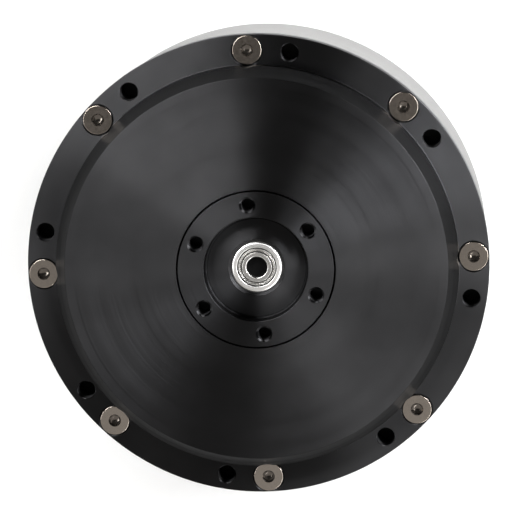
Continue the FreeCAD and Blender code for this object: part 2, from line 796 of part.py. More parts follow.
def prism(face, bottom, top):
    solid = face.extrude(Vector(0, 0, value(top) - value(bottom)))
    solid.translate(Vector(0, 0, value(bottom)))
    return solid


def rod(radius, bottom, top, x=0.0, y=0.0):
    low = value(bottom)
    return Part.makeCylinder(value(radius), value(top) - low, Vector(x, y, low))


def shaped(label, shape, place=None):
    """A piece whose shape is worked out here from the sheet's sizes."""
    feature = doc.addObject("Part::Feature", label)
    feature.Label = label
    feature.Shape = shape
    if place is not None:
        feature.Placement = place
    return feature


def ring_gear():
    """Held in the cover's skirt; its teeth are cut where the first planet meets them."""
    phase = value("((sun_teeth + ring_teeth) * first_planet + 180 * (planet_teeth + 1)) / ring_teeth")
    hollow = prism(gear_outline(round(value("ring_teeth")), 1, phase, internal=True),
                   "gear_bottom", "gear_top")
    shape = rod("ring_r", "gear_bottom", "gear_top").cut(hollow)
    for number in range(round(value("ring_pin_count"))):
        angle = math.radians(value("ring_pin_angle") + 360 * number / value("ring_pin_count"))
        x, y = value("ring_r") * math.cos(angle), value("ring_r") * math.sin(angle)
        shape = shape.cut(rod("ring_pin_dia / 2", "gear_bottom", "gear_top", x, y))
    return shaped("ring_gear", shape)


def ring_gear_pins():
    body = piece("ring_gear_pins")
    sketch = flat_sketch(body, "pin_sketch", "gear_bottom")
    circle(sketch, *polar("ring_r", "ring_pin_angle"), "ring_pin_dia")
    pin = pad(body, "pin", sketch, "gear_width")
    around(body, "pins", [pin], "ring_pin_count")
    return body


def planets():
    """Planet gears and their bushes, each turned so that its teeth meet the sun and the ring."""
    made = []
    teeth = round(value("planet_teeth"))
    for number in range(round(value("planet_count"))):
        orbit_angle = value("first_planet") + 360 * number / value("planet_count")
        turn_angle = orbit_angle * (1 + value("sun_teeth") / teeth) + 180 + 180 / teeth
        gear = prism(gear_outline(teeth, 1, 0), "gear_bottom", "gear_top")
        gear = gear.cut(rod("bush_r", "gear_bottom", "gear_top"))
        x = value("orbit_r") * math.cos(math.radians(orbit_angle))
        y = value("orbit_r") * math.sin(math.radians(orbit_angle))
        place = Placement(Vector(x, y, 0), Rotation(Vector(0, 0, 1), turn_angle))
        made.append(shaped(f"planet_gear_{number + 1}", gear, place))
        bush = rod("bush_r", "gear_bottom", "gear_top")
        bush = bush.cut(rod("pin_r + bush_slack", "gear_bottom", "gear_top"))
        made.append(shaped(f"planet_bush_{number + 1}", bush, place))
    return made


def sun_shaft():
    """Rotor shaft: bearing seats, a flange for the rotor, the sun gear and the front nose."""
    shape = rod("shaft_r", "shaft_rear", "tube_top")
    shape = shape.fuse(rod("shaft_r + rotor_ring / 2", "tube_top", "flange_bottom"))
    shape = shape.fuse(rod("flange_dia / 2", "flange_bottom", "flange_top"))
    shape = shape.fuse(rod("pilot_r", "flange_top", "web_top"))
    sun_teeth = round(value("sun_teeth"))
    tip = "gear_module * (sun_teeth / 2 + tooth_top)"
    shape = shape.fuse(rod(tip, "web_top", "gear_bottom - gear_end_gap"))
    sun = prism(gear_outline(sun_teeth, 3, 0), "gear_bottom - gear_end_gap", "gear_top")
    shape = shape.fuse(sun)
    shape = shape.fuse(rod("nose_r", "gear_top", "nose_top - shaft_nose_sunk"))
    return shaped("sun_shaft", shape)


# ---------------------------------------------------------------------------------------------
# Rotor
# ---------------------------------------------------------------------------------------------
def rotor_bell():
    """The spoked disc that carries the magnet ring on the shaft's flange."""
    body = piece("rotor_bell")
    turn(body, "centre", [
        ("pilot_r", "flange_top"),
        ("flange_dia / 2", "flange_top"),
        ("flange_dia / 2", "web_bottom"),
        ("window_inner_dia / 2", "web_bottom"),
        ("window_inner_dia / 2", "web_top"),
        ("pilot_r", "web_top"),
    ])
    ring(body, "outer_band", "window_outer_dia / 2", "iron_r", "web_bottom", "web_top")
    sketch = flat_sketch(body, "spoke_sketch", "web_bottom")
    rectangle(sketch, "window_inner_dia / 2 - 1", "window_outer_dia / 2 + 1", "-spoke_wide / 2",
              "spoke_wide / 2")
    spoke = pad(body, "spoke", sketch, "web_thick")
    around(body, "spokes", [spoke], "spoke_count")
    return body


def magnets():
    """Flat blocks glued inside the iron ring, north and south in turn."""
    body = piece("magnets")
    sketch = flat_sketch(body, "magnet_sketch", "magnet_bottom")
    rectangle(sketch, "magnet_r", "sqrt(iron_r * iron_r - magnet_wide * magnet_wide / 4)",
              "-magnet_wide / 2", "magnet_wide / 2")
    block = pad(body, "magnet", sketch, "magnet_long")
    around(body, "magnet_ring", [block], "magnet_count")
    return body


def tail_magnet():
    return shaped("encoder_magnet", rod("tail_magnet_dia / 2", "shaft_rear - tail_magnet_thick",
                                        "shaft_rear"))


# ---------------------------------------------------------------------------------------------
# Stator
# ---------------------------------------------------------------------------------------------
def stator_hub():
    body = piece("stator_hub")
    turn(body, "hub", [
        ("tube_r", "bulkhead_top"),
        ("yoke_r + stator_ledge", "bulkhead_top"),
        ("yoke_r + stator_ledge", "stack_bottom"),
        ("yoke_r", "stack_bottom"),
        ("yoke_r", "stack_top"),
        ("yoke_r - stator_rim", "stack_top"),
        ("yoke_r - stator_rim", "bulkhead_top + stator_web"),
        ("tube_r", "bulkhead_top + stator_web"),
    ])
    return body


def stator_core():
    """The lamination stack. One slot is cut between two teeth and repeated."""
    body = piece("stator_core")
    ring(body, "stack", "yoke_r", "stator_r", "stack_bottom", "stack_top")
    sketch = flat_sketch(body, "slot_sketch", "stack_top")
    half = "(180 / slot_count * 1deg)"
    inner_y = f"slot_r * sin{half} - tooth_wide / 2 * cos{half}"
    outer_y = f"(stator_r - tooth_tip_thick) * sin{half} - tooth_wide / 2 * cos{half}"
    mouth_y = f"stator_r * sin{half} - tooth_tip_wide / 2 * cos{half}"
    under_tip = "stator_r - tooth_tip_thick"
    outside = "stator_r + air_gap / 2"
    outline(sketch, [
        ("slot_r", f"-({inner_y})"),
        (under_tip, f"-({outer_y})"),
        (under_tip, f"-({mouth_y})"),
        (outside, f"-({mouth_y})"),
        (outside, mouth_y),
        (under_tip, mouth_y),
        (under_tip, outer_y),
        ("slot_r", inner_y),
    ])
    slot = pocket(body, "slot", sketch, "stack_long")
    around(body, "slots", [slot], "slot_count")
    return body


def stator_windings():
    """One coil round each tooth, drawn as its outer block less the tooth."""
    body = piece("stator_windings")
    spans = ("slot_r + coil_inset", "stator_r - tooth_tip_thick - coil_inset")
    block = turned_sketch(body, "coil_sketch", "coil_bottom", "180 / slot_count")
    rectangle(block, *spans, "-tooth_wide / 2 - coil_wall", "tooth_wide / 2 + coil_wall")
    coil = pad(body, "coil", block, "coil_top - coil_bottom")
    tooth = turned_sketch(body, "tooth_sketch", "stack_top", "180 / slot_count")
    rectangle(tooth, *spans, "-tooth_wide / 2", "tooth_wide / 2")
    gap = pocket(body, "tooth_gap", tooth, "stack_long")
    around(body, "coils", [coil, gap], "slot_count")
    return body


def lead_outline(margin):
    """The low and high sides of one lead's flat section, with a margin all round."""
    return (f"lead_r - lead_thick / 2 - {margin}",
            f"lead_r + lead_thick / 2 + {margin}",
            f"-lead_wide / 2 - {margin}", f"lead_wide / 2 + {margin}")


def phase_leads():
    """Three flat bars from the windings through the bulkhead to the board."""
    body = piece("phase_leads")
    sketch = turned_sketch(body, "lead_sketch", "board_top", "lead_angle")
    rectangle(sketch, *lead_outline("0"))
    lead = pad(body, "lead", sketch, "coil_bottom - board_top")
    around(body, "leads", [lead], "lead_count")
    return body


# ---------------------------------------------------------------------------------------------
# Electronics
# ---------------------------------------------------------------------------------------------
def block(x_mid, y_mid, long, wide, bottom, top):
    low = Vector(value(x_mid) - value(long) / 2, value(y_mid) - value(wide) / 2, value(bottom))
    return Part.makeBox(value(long), value(wide), value(top) - value(bottom), low)


def driver_board():
    body = piece("driver_board")
    disc = flat_sketch(body, "disc_sketch", "board_bottom")
    circle(disc, "0", "0", "2 * board_r")
    pad(body, "disc", disc, "board_thick")
    tongue = flat_sketch(body, "tongue_sketch", "board_bottom")
    rectangle(tongue, "-window_wide / 2", "window_wide / 2", "-socket_back", "-board_r / 2")
    pad(body, "tongue", tongue, "board_thick")
    hole = round_hole(body, "screw_hole", "board_top", "board_thick", "board_bolt_r",
                      "board_bolt_angle", "tiny_screw_dia")
    around(body, "screw_holes", [hole], "board_bolt_count")
    return body


def board_standoffs():
    """Hexagonal posts between the bulkhead and the board. The thread in them isn't modelled."""
    body = piece("board_standoffs")
    sketch = turned_sketch(body, "standoff_sketch", "board_top", "board_bolt_angle")
    hexagon(sketch, "board_bolt_r", "standoff_across")
    post = pad(body, "standoff", sketch, "board_gap")
    around(body, "standoffs", [post], "board_bolt_count")
    return body


def block_ring(label, circle_r, angle, long, wide, bottom, high, count):
    """Small rectangular parts round the board."""
    body = piece(label)
    sketch = turned_sketch(body, "block_sketch", bottom, angle)
    rectangle(sketch, f"{circle_r} - {wide} / 2", f"{circle_r} + {wide} / 2",
              f"-{long} / 2", f"{long} / 2")
    part = pad(body, "block", sketch, high)
    around(body, "blocks", [part], count)
    return body


def board_parts():
    chip = block("0", "chip_side * 1.6", "chip_side", "chip_side", "board_top",
                 "board_top + chip_high")
    encoder = block("0", "0", "chip_side / 2", "chip_side / 2", "board_top",
                    "board_top + chip_high")
    return [
        block_ring("power_transistors", "fet_circle / 2", "0", "fet_long", "fet_wide",
                   "fet_bottom", "fet_high", "fet_count"),
        block_ring("capacitors", "fet_circle / 2", "cap_angle", "cap_long", "cap_wide", "board_top",
                   "cap_high", "cap_count"),
        shaped("controller_chip", chip),
        shaped("encoder_chip", encoder),
        block_ring("thermal_pads", "fet_circle / 2", "0", "fet_long", "fet_wide", "rear_floor",
                   "fet_bottom - rear_floor", "fet_count"),
    ]


def socket(label, x_mid, wide):
    """A shrouded socket in the cover's window, open outwards, with its pins left to a node."""
    body = piece(label)
    front = "-(rear_r - socket_sunk)"
    shell = flat_sketch(body, "shell_sketch", "socket_bottom")
    rectangle(shell, f"{x_mid} - {wide} / 2", f"{x_mid} + {wide} / 2", front, "-socket_back")
    pad(body, "shell", shell, "socket_high")
    mouth = flat_sketch(body, "mouth_sketch", "socket_bottom + socket_high - socket_wall")
    rectangle(mouth, f"{x_mid} - {wide} / 2 + socket_wall", f"{x_mid} + {wide} / 2 - socket_wall",
              f"{front} - socket_wall", "-socket_back - 2 * socket_wall")
    pocket(body, "mouth", mouth, "socket_high - 2 * socket_wall")
    return body


def socket_pins():
    """Two round power pins and two rows of square signal pins, standing in their sockets."""
    pins = []
    middle = value("socket_bottom + socket_high / 2")
    root = -value("socket_back + 2 * socket_wall")
    long = value("socket_deep - 4 * socket_wall")
    for side in (-1, 1):
        start = Vector(side * value("power_pin_pitch") / 2, root, middle)
        pins.append(Part.makeCylinder(value("power_pin_dia") / 2, long, start, Vector(0, -1, 0)))
    thick = value("signal_pin_side")
    count = round(value("signal_pin_count"))
    pitch = value("signal_wide - 2 * socket_wall") / count
    for side in (-1, 1):
        for number in range(count):
            x = side * value("signal_step") + (number - (count - 1) / 2) * pitch - thick / 2
            corner = Vector(x, root - long, middle - thick / 2)
            pins.append(Part.makeBox(thick, long, thick, corner))
    return shaped("socket_pins", Part.makeCompound(pins))


# ---------------------------------------------------------------------------------------------
# Build, check and write
# ---------------------------------------------------------------------------------------------
pieces = [front_cover(), barrel(), rear_cover()]
pieces += fasteners()
pieces += [output_flange(), carrier_rear_plate(), planet_pins()]
pieces += bearings()
pieces += [ring_gear(), ring_gear_pins()]
pieces += planets()
pieces += [sun_shaft(), rotor_bell(), magnets(), tail_magnet()]
pieces.append(plain_ring("back_iron", "iron_r", "rotor_r", "magnet_bottom", "web_top"))
pieces += [stator_hub(), stator_core(), stator_windings(), phase_leads()]
pieces += [driver_board(), board_standoffs()]
pieces += board_parts()
pieces += [
    socket("power_socket", "0", "power_wide"),
    socket("bus_socket", "signal_step", "signal_wide"),
    socket("setup_socket", "-signal_step", "signal_wide"),
    socket_pins(),
]
doc.recompute()

for item in doc.Objects:
    if "Invalid" in item.State or "Error" in item.State:
        raise RuntimeError(f"{item.Name} failed: {item.State}")
os.makedirs("parts", exist_ok=True)
for item in pieces:
    shape = item.Shape
    if shape.isNull() or not shape.isValid() or shape.Volume <= 0:
        raise RuntimeError(f"{item.Label} has no sound shape")
    shape.exportStep(f"parts/{item.Label}.step")
    print(item.Label, len(shape.Solids), round(shape.Volume, 1))
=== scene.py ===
"""Looks of the joint actuator: turned and anodised housing, steel screws and bearing, and the works inside.

Sizes are in millimetres and degrees. MM turns them into the frame's metres. +Z is the output axis.
"""
import json
import math

import bmesh
import bpy
from mathutils import Matrix, Vector


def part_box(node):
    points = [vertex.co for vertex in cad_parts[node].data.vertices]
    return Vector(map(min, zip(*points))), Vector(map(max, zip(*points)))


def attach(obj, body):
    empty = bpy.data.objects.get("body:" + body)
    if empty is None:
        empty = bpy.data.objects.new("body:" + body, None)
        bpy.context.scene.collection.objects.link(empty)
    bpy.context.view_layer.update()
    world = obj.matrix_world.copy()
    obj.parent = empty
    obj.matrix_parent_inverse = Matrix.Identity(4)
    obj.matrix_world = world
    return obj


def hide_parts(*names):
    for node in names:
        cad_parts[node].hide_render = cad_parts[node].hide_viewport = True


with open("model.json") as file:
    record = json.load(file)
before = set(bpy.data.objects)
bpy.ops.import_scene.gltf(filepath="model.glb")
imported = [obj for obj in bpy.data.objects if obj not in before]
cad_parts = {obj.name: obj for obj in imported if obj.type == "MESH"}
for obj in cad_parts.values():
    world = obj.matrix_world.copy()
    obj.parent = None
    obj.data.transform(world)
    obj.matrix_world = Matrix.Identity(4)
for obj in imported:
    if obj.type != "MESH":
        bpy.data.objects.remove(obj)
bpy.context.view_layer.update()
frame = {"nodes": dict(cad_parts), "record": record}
nodes = frame["nodes"]

MM = 0.001
STEPS = 256         # facets round a large turned piece
FINE_STEPS = 96     # facets round a small one
HOLE_STEPS = 48
ARC_STEPS = 4       # facets across a rounded edge
SUPPORT = 0.04      # extra loop beside a rounded edge, which keeps the flats flat
CLEAR = 1.0         # how far a cutter reaches past what it cuts, and a post into its plate
ON_AXIS = 1e-6      # a radius under this is a point on the axis
CREASE = 32.0       # edges sharper than this stay sharp


# ---------------------------------------------------------------------------------------------
# Places, read from the frame
# ---------------------------------------------------------------------------------------------
def low(node):
    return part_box(node)[0] / MM


def high(node):
    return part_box(node)[1] / MM


def mount(name):
    return next(m for m in frame["record"]["mounts"] if m["name"] == name)


def mount_height(name):
    return mount(name)["pos_m"][2] / MM


PLANET_GAP = 0.3        # between the planets and the carrier
RIM_FACE = mount_height("housing_bolts")
BOLT_R = mount("housing_bolts")["dims"]["pcd_mm"] / 2
BOLT_COUNT = mount("housing_bolts")["dims"]["count"]
MOUNT_HOLE_R = mount("housing_bolts")["dims"]["hole_r_mm"]
OUTPUT_FACE = mount_height("output_bolts")
OUTPUT_BOLT_R = mount("output_bolts")["dims"]["pcd_mm"] / 2
OUTPUT_BOLT_COUNT = mount("output_bolts")["dims"]["count"]
OUTPUT_HOLE_R = mount("output_bolts")["dims"]["hole_r_mm"]

RIM_R = high("front_cover").x
PLATEAU = high("front_cover").z
BARREL_R = high("barrel").x
BARREL_TOP = high("barrel").z
REAR_R = high("rear_cover").x
REAR_TOP = high("rear_cover").z
BEARING_R = high("output_bearing_outer").x
BEARING_TOP = high("output_bearing_outer").z
BEARING_BOTTOM = low("output_bearing_outer").z
RING_R = high("ring_gear").x
GEAR_TOP = high("ring_gear").z
SKIRT_BOTTOM = low("front_cover").z
CARRIER_R = high("output_flange").x
FRONT_PLATE = high("planet_gear_1").z + PLANET_GAP
NOSE_R = high("centre_bearing_outer").x
NOSE_TOP = high("centre_bearing_outer").z
NOSE_BOTTOM = low("centre_bearing_outer").z
RACE_R = high("rear_rotor_bearing_outer").x
RACE_BOTTOM = low("rear_rotor_bearing_outer").z
TUBE_TOP = high("front_rotor_bearing_outer").z

# front cover
SHOULDER_R = 38.7       # upright wall
SHOULDER_HIGH = 3.0
SHOULDER_TOP = RIM_FACE + SHOULDER_HIGH
PLATEAU_R = 36.7        # where the bevel ends
WEB_THICK = 3.3
WEB_UNDER = PLATEAU - WEB_THICK
SHELL_R = 36.2
SPIGOT_R = 39.1
SPIGOT_LONG = 2.5
LEDGE_R = 28.2
BOSS_WALL = 3.0
SKIRT_WALL = 2.8
LIP_GAP = 0.25
RIM_EDGE = 0.15         # rounding of the rim's outer edge
FINE_EDGE = 0.12        # rounding of the other turned edges
GAP_WIDER = 0.07        # taken off each wall of the gap round the hub
HOLE_EDGE = 0.12        # bevel round the mounting holes
MOUNT_ANGLE = -11.25
RING_PIN_R = 1.25       # of the pins that key the ring gear to the cover
RING_PIN_COUNT = 3
RING_PIN_ANGLE = 45.0

# barrel and rear cover
BARREL_FOOT_EDGE = 0.35
BARREL_WALL = 3.05
COLLAR_WALL = 4.5
COLLAR_LONG = 7.5
BULKHEAD_THICK = 2.4
BULKHEAD_TOP = REAR_TOP + BULKHEAD_THICK
TUBE_R = 10.5
REAR_LIP_BORE_R = 6.5
HOLE_DEEP = 5.0         # of the screw and mounting holes in the barrel
REAR_BEVEL = 1.2
REAR_EDGE = 0.2         # rounding of the bevel's own edges
REAR_FLOOR = 1.8
REAR_WALL = 1.6
WINDOW_HALF = 14.0
WINDOW_SILL = 2.0
REAR_BOSS_R = 3.2
REAR_BOLT_R = 38.0
REAR_BOLT_COUNT = 6
REAR_SCREW_R = 1.25
REAR_HEAD_R = 2.25
REAR_HEAD_HIGH = 1.5
REAR_HEAD_EDGE = 0.25
REAR_HEX_ACROSS = 2.0
REAR_HEX_DEEP = 1.2
REAR_SEAT_BEVEL = 0.2
SCREW_GAP = 0.1
LEAD_COUNT = 3
LEAD_ANGLE = 75.0
LEAD_R = 31.0
LEAD_SLOT = (2.2, 4.2)  # across and along

# sockets
SOCKET_WALL = 0.7
SOCKET_EDGE = 0.35
SOCKET_BEVEL = 0.08
SOCKET_BEVEL_ANGLE = 60.0  # edges sharper than this are bevelled
SOCKET_CREASE = 40.0
POWER_PIN_PITCH = 5.0
POWER_PIN_R = 1.0
POWER_PIN_TIP = 0.7
SIGNAL_PIN_SIDE = 0.5
SIGNAL_PIN_EDGE = 0.06
SIGNAL_PIN_COUNT = 4

# cover screws
SCREW_R = 1.5
SCREW_HEAD_R = 2.8
SCREW_HEAD_EDGE = 0.1
SCREW_LONG = 7.5
SCREW_LAND = 0.4        # upright side of the head, above its cone
SCREW_TIP = 0.3         # bevel at the end of the thread, on the rear screws too
SEAT_R = 3.1
SEAT_DEEP = 0.1
SEAT_SHANK_R = 1.55
HEX_ACROSS = 2.0
HEX_DEEP = 1.1
HEX_BEVEL = 0.05
HEX_DRILL_R = 0.6
HEX_DRILL_POINT = 0.35
HEX_DRILL_OVERLAP = 0.5  # how far the drilled hole reaches up into the hexagon

# centre bearing
CENTRE_BORE_R = 2.0
OUTER_RING_FOOT = 0.2
OUTER_RING_CORNER = 0.5
INNER_RING_FOOT = 0.1
INNER_RING_EDGE = 0.06
RACE_BORE_EDGE = 0.15   # at the bore of both rings
SHIELD_THICK = 0.4
SHIELD_GROOVE = 0.2     # width of the groove beside the outer ring
SHIELD_GROOVE_DEEP = 0.3
SHIELD_RIDGE = 0.25     # width of the ridge inside the groove
SHIELD_DISH = 0.15      # depth of the flat inside the ridge
SHIELD_SLOPE = 0.1      # run of the sloped sides, and the gap to the inner ring
SHIELD_EDGE = 0.05

# output hub
BEARING_RING_WALL = 1.7  # of the output bearing's inner ring, which sits on the hub
HUB_R = -low("output_bearing_inner").x - BEARING_RING_WALL
CARRIER_PLATE = 3.2
OUTPUT_ANGLE = 34.5
OUTPUT_HOLE_DEEP = 6.0
OUTPUT_HOLE_BEVEL = 0.35
RECESS_R = 10.0
RECESS_DEEP = 2.8
RECESS_FLOOR = OUTPUT_FACE - RECESS_DEEP
RECESS_CORNER = 0.6
RECESS_EDGE = 0.15
POCKET_BEVEL = 0.5
HUB_SHOULDER_R = 16.6
CARRIER_BORE_R = 4.2
POST_R = 3.3
POST_CIRCLE_R = 20.5
POST_ANGLE = 124.5
POST_COUNT = 3
POST_HOLE_DEEP = 6.0
ORBIT_R = 15.0
PIN_R = 2.5


# ---------------------------------------------------------------------------------------------
# Mesh making
# ---------------------------------------------------------------------------------------------
def polar(radius, angle, height=0.0):
    """A place from its distance from Z, its angle round it and its height."""
    turn = math.radians(angle)
    return Vector((radius * math.cos(turn), radius * math.sin(turn), height))


def rounded(outline):
    """The outline's corners (radius, height, rounding) as points, rounded ones as arcs."""
    points = []
    for index, corner in enumerate(outline):
        here = Vector(corner[:2])
        size = corner[2] if len(corner) > 2 else 0
        if not size:
            points.append(here)
            continue
        before = (Vector(outline[index - 1][:2]) - here).normalized()
        after = (Vector(outline[(index + 1) % len(outline)][:2]) - here).normalized()
        half = before.angle(after) / 2
        reach = size / math.tan(half)
        middle = here + (before + after).normalized() * size / math.sin(half)
        start, end = here + before * reach, here + after * reach
        points.append(start + before * SUPPORT)
        for step in range(ARC_STEPS + 1):
            arm = (start - middle).slerp(end - middle, step / ARC_STEPS)
            points.append(middle + arm.normalized() * size)
        points.append(end + after * SUPPORT)
    return points


def new_piece(name, mesh_data):
    """An object at the origin, its faces pointing outwards."""
    data = bpy.data.meshes.new(name)
    bmesh.ops.recalc_face_normals(mesh_data, faces=mesh_data.faces)
    mesh_data.to_mesh(data)
    mesh_data.free()
    piece = bpy.data.objects.new(name, data)
    bpy.context.scene.collection.objects.link(piece)
    return piece


def turned(name, outline, steps=STEPS):
    """A closed solid of revolution about Z."""
    mesh_data = bmesh.new()
    rings = []
    for radius, height in rounded(outline):
        if radius < ON_AXIS:
            rings.append([mesh_data.verts.new((0, 0, height * MM))])
            continue
        ring = []
        for step in range(steps):
            turn = 2 * math.pi * step / steps
            x, y = radius * math.cos(turn), radius * math.sin(turn)
            ring.append(mesh_data.verts.new((x * MM, y * MM, height * MM)))
        rings.append(ring)
    for ring, other in zip(rings, rings[1:] + rings[:1]):
        if len(ring) == 1 and len(other) == 1:
            continue
        for step in range(steps):
            corners = [ring[step % len(ring)], ring[(step + 1) % len(ring)],
                       other[(step + 1) % len(other)], other[step % len(other)]]
            mesh_data.faces.new(list(dict.fromkeys(corners)))
    return new_piece(name, mesh_data)


def bore(name, radius, bottom, top):
    """A plain round cutter."""
    return turned(name, [(0, bottom), (radius, bottom), (radius, top), (0, top)], HOLE_STEPS)


def prism(name, corners, bottom, top):
    """A straight block between two heights over a closed outline of (x, y) corners."""
    mesh_data = bmesh.new()
    floor = [mesh_data.verts.new((x * MM, y * MM, bottom * MM)) for x, y in corners]
    roof = [mesh_data.verts.new((x * MM, y * MM, top * MM)) for x, y in corners]
    mesh_data.faces.new(floor)
    mesh_data.faces.new(roof)
    for index in range(len(corners)):
        after = (index + 1) % len(corners)
        mesh_data.faces.new([floor[index], floor[after], roof[after], roof[index]])
    return new_piece(name, mesh_data)


def hexagon(across):
    """Corners of a hexagon, from its size across the flats."""
    return [polar(across / math.sqrt(3), 60 * side + 30)[:2] for side in range(6)]


def finished(piece):
    """The piece with its modifiers made real and taken off."""
    depsgraph = bpy.context.evaluated_depsgraph_get()
    data = bpy.data.meshes.new_from_object(piece.evaluated_get(depsgraph))
    piece.modifiers.clear()
    old, piece.data = piece.data, data
    data.name = piece.name
    bpy.data.meshes.remove(old)
    return piece


def joined(name, pieces):
    """Several pieces as one, which may lie apart."""
    mesh_data = bmesh.new()
    for piece in pieces:
        mesh_data.from_mesh(piece.data)
        bpy.data.objects.remove(piece)
    return new_piece(name, mesh_data)


def cut(piece, cutter, operation="DIFFERENCE"):
    """Takes the cutter's shape off the piece, or adds it where the operation is UNION."""
    modifier = piece.modifiers.new("cut", "BOOLEAN")
    modifier.operation = operation
    modifier.solver = "EXACT"
    modifier.object = cutter
    finished(piece)
    bpy.data.objects.remove(cutter)
    return piece


def moved(piece, offset):
    """Moves the mesh, so that the object itself stays at the origin."""
    piece.data.transform(Matrix.Translation(Vector(offset) * MM))
    return piece


def smooth(piece, angle=CREASE):
    piece.data.polygons.foreach_set("use_smooth", [True] * len(piece.data.polygons))
    piece.data.set_sharp_from_angle(angle=math.radians(angle))
    return piece


# ---------------------------------------------------------------------------------------------
# What repeats: a ring of copies round the output axis
# ---------------------------------------------------------------------------------------------
def ring_tree():
    """Geometry Nodes tree: the piece copied round Z, turned, made real, with one material."""
    tree = bpy.data.node_groups.new("ring of copies", "GeometryNodeTree")
    for name, kind in (("Geometry", "Geometry"), ("Count", "Int"), ("Radius", "Float"),
                       ("First angle", "Float"), ("Material", "Material")):
        tree.interface.new_socket(name, in_out="INPUT", socket_type="NodeSocket" + kind)
    tree.interface.new_socket("Geometry", in_out="OUTPUT", socket_type="NodeSocketGeometry")
    add = tree.nodes.new
    group_in, group_out = add("NodeGroupInput"), add("NodeGroupOutput")
    circle = add("GeometryNodeMeshCircle")
    index = add("GeometryNodeInputIndex")
    share = add("ShaderNodeMath")
    share.operation = "DIVIDE"
    turn = add("ShaderNodeMath")
    turn.operation = "MULTIPLY_ADD"
    turn.inputs[1].default_value = 2 * math.pi
    angles = add("ShaderNodeCombineXYZ")
    spin = add("GeometryNodeRotateInstances")
    copies = add("GeometryNodeInstanceOnPoints")
    whole = add("GeometryNodeTransform")
    rotation = add("ShaderNodeCombineXYZ")
    real = add("GeometryNodeRealizeInstances")
    paint = add("GeometryNodeSetMaterial")
    link = tree.links.new
    link(group_in.outputs["Count"], circle.inputs["Vertices"])
    link(group_in.outputs["Radius"], circle.inputs["Radius"])
    link(circle.outputs["Mesh"], copies.inputs["Points"])
    link(group_in.outputs["Geometry"], copies.inputs["Instance"])
    link(index.outputs["Index"], share.inputs[0])
    link(group_in.outputs["Count"], share.inputs[1])
    link(share.outputs[0], turn.inputs[0])
    link(turn.outputs[0], angles.inputs["Z"])
    link(copies.outputs["Instances"], spin.inputs["Instances"])
    link(angles.outputs[0], spin.inputs["Rotation"])
    link(spin.outputs["Instances"], whole.inputs["Geometry"])
    link(group_in.outputs["First angle"], rotation.inputs["Z"])
    link(rotation.outputs[0], whole.inputs["Rotation"])
    link(whole.outputs["Geometry"], real.inputs["Geometry"])
    link(real.outputs["Geometry"], paint.inputs["Geometry"])
    link(group_in.outputs["Material"], paint.inputs["Material"])
    link(paint.outputs["Geometry"], group_out.inputs["Geometry"])
    return tree


RING_TREE = ring_tree()


def ring_of(piece, count, radius, first_angle, material):
    """Copies of a piece that was made at the axis, its +X side outwards."""
    modifier = piece.modifiers.new("ring", "NODES")
    modifier.node_group = RING_TREE
    given = {"Count": count, "Radius": radius * MM, "First angle": math.radians(first_angle),
             "Material": material}
    for item in RING_TREE.interface.items_tree:
        if item.in_out == "INPUT" and item.name in given:
            modifier[item.identifier] = given[item.name]
    return finished(piece)


# ---------------------------------------------------------------------------------------------
# Materials. Patterns are laid out in metres, so a noise of scale 1000 has marks about 1 mm apart.
# ---------------------------------------------------------------------------------------------
GROOVE_LEAN = 0.075     # slope of the turning marks
RING_LEAN = 0.12        # and of the bearing's outer ring
BEVEL_FINER = 0.04      # how much less rough a bevel is
BEVEL_SHADE_TONE = 0.27       # and how much darker it is painted beside the rest, as shade
BEVEL_MARGIN = 0.05     # how far the hub's painted shade band reaches past its recess
GLOSS_SWING = 0.07      # by which turned black is rougher or smoother in places
TONE_SWING = 0.2        # share by which it is lighter or darker in places
PLASTIC_TONE = 0.88     # the darker places of a moulding, beside its colour
BARREL_SHADE_DEPTH = 0.35      # how deep under the barrel's outside its silver goes; deeper in, it is painted dark as shade
SHADE_FADE = 0.1         # over which the silver turns to the painted shade
FACE_SKIN = 0.1         # how far under a face its sockets or grooves begin
SOCKET_SHADE_DEEP = 0.7        # depth at which a screw's socket is fully painted dark, as shade
# how dark the painted shade in a screw's socket is, beside the screw's colour
SOCKET_SHADE_TONE = 0.45
GROOVE_SHADE_DEEP = 0.3       # the same for the painted shade in the bearing shield's grooves
# near-black painted as shade: in the barrel's holes and inside, and in the bearing shield's grooves
PAINTED_SHADE = (0.03, 0.03, 0.03)


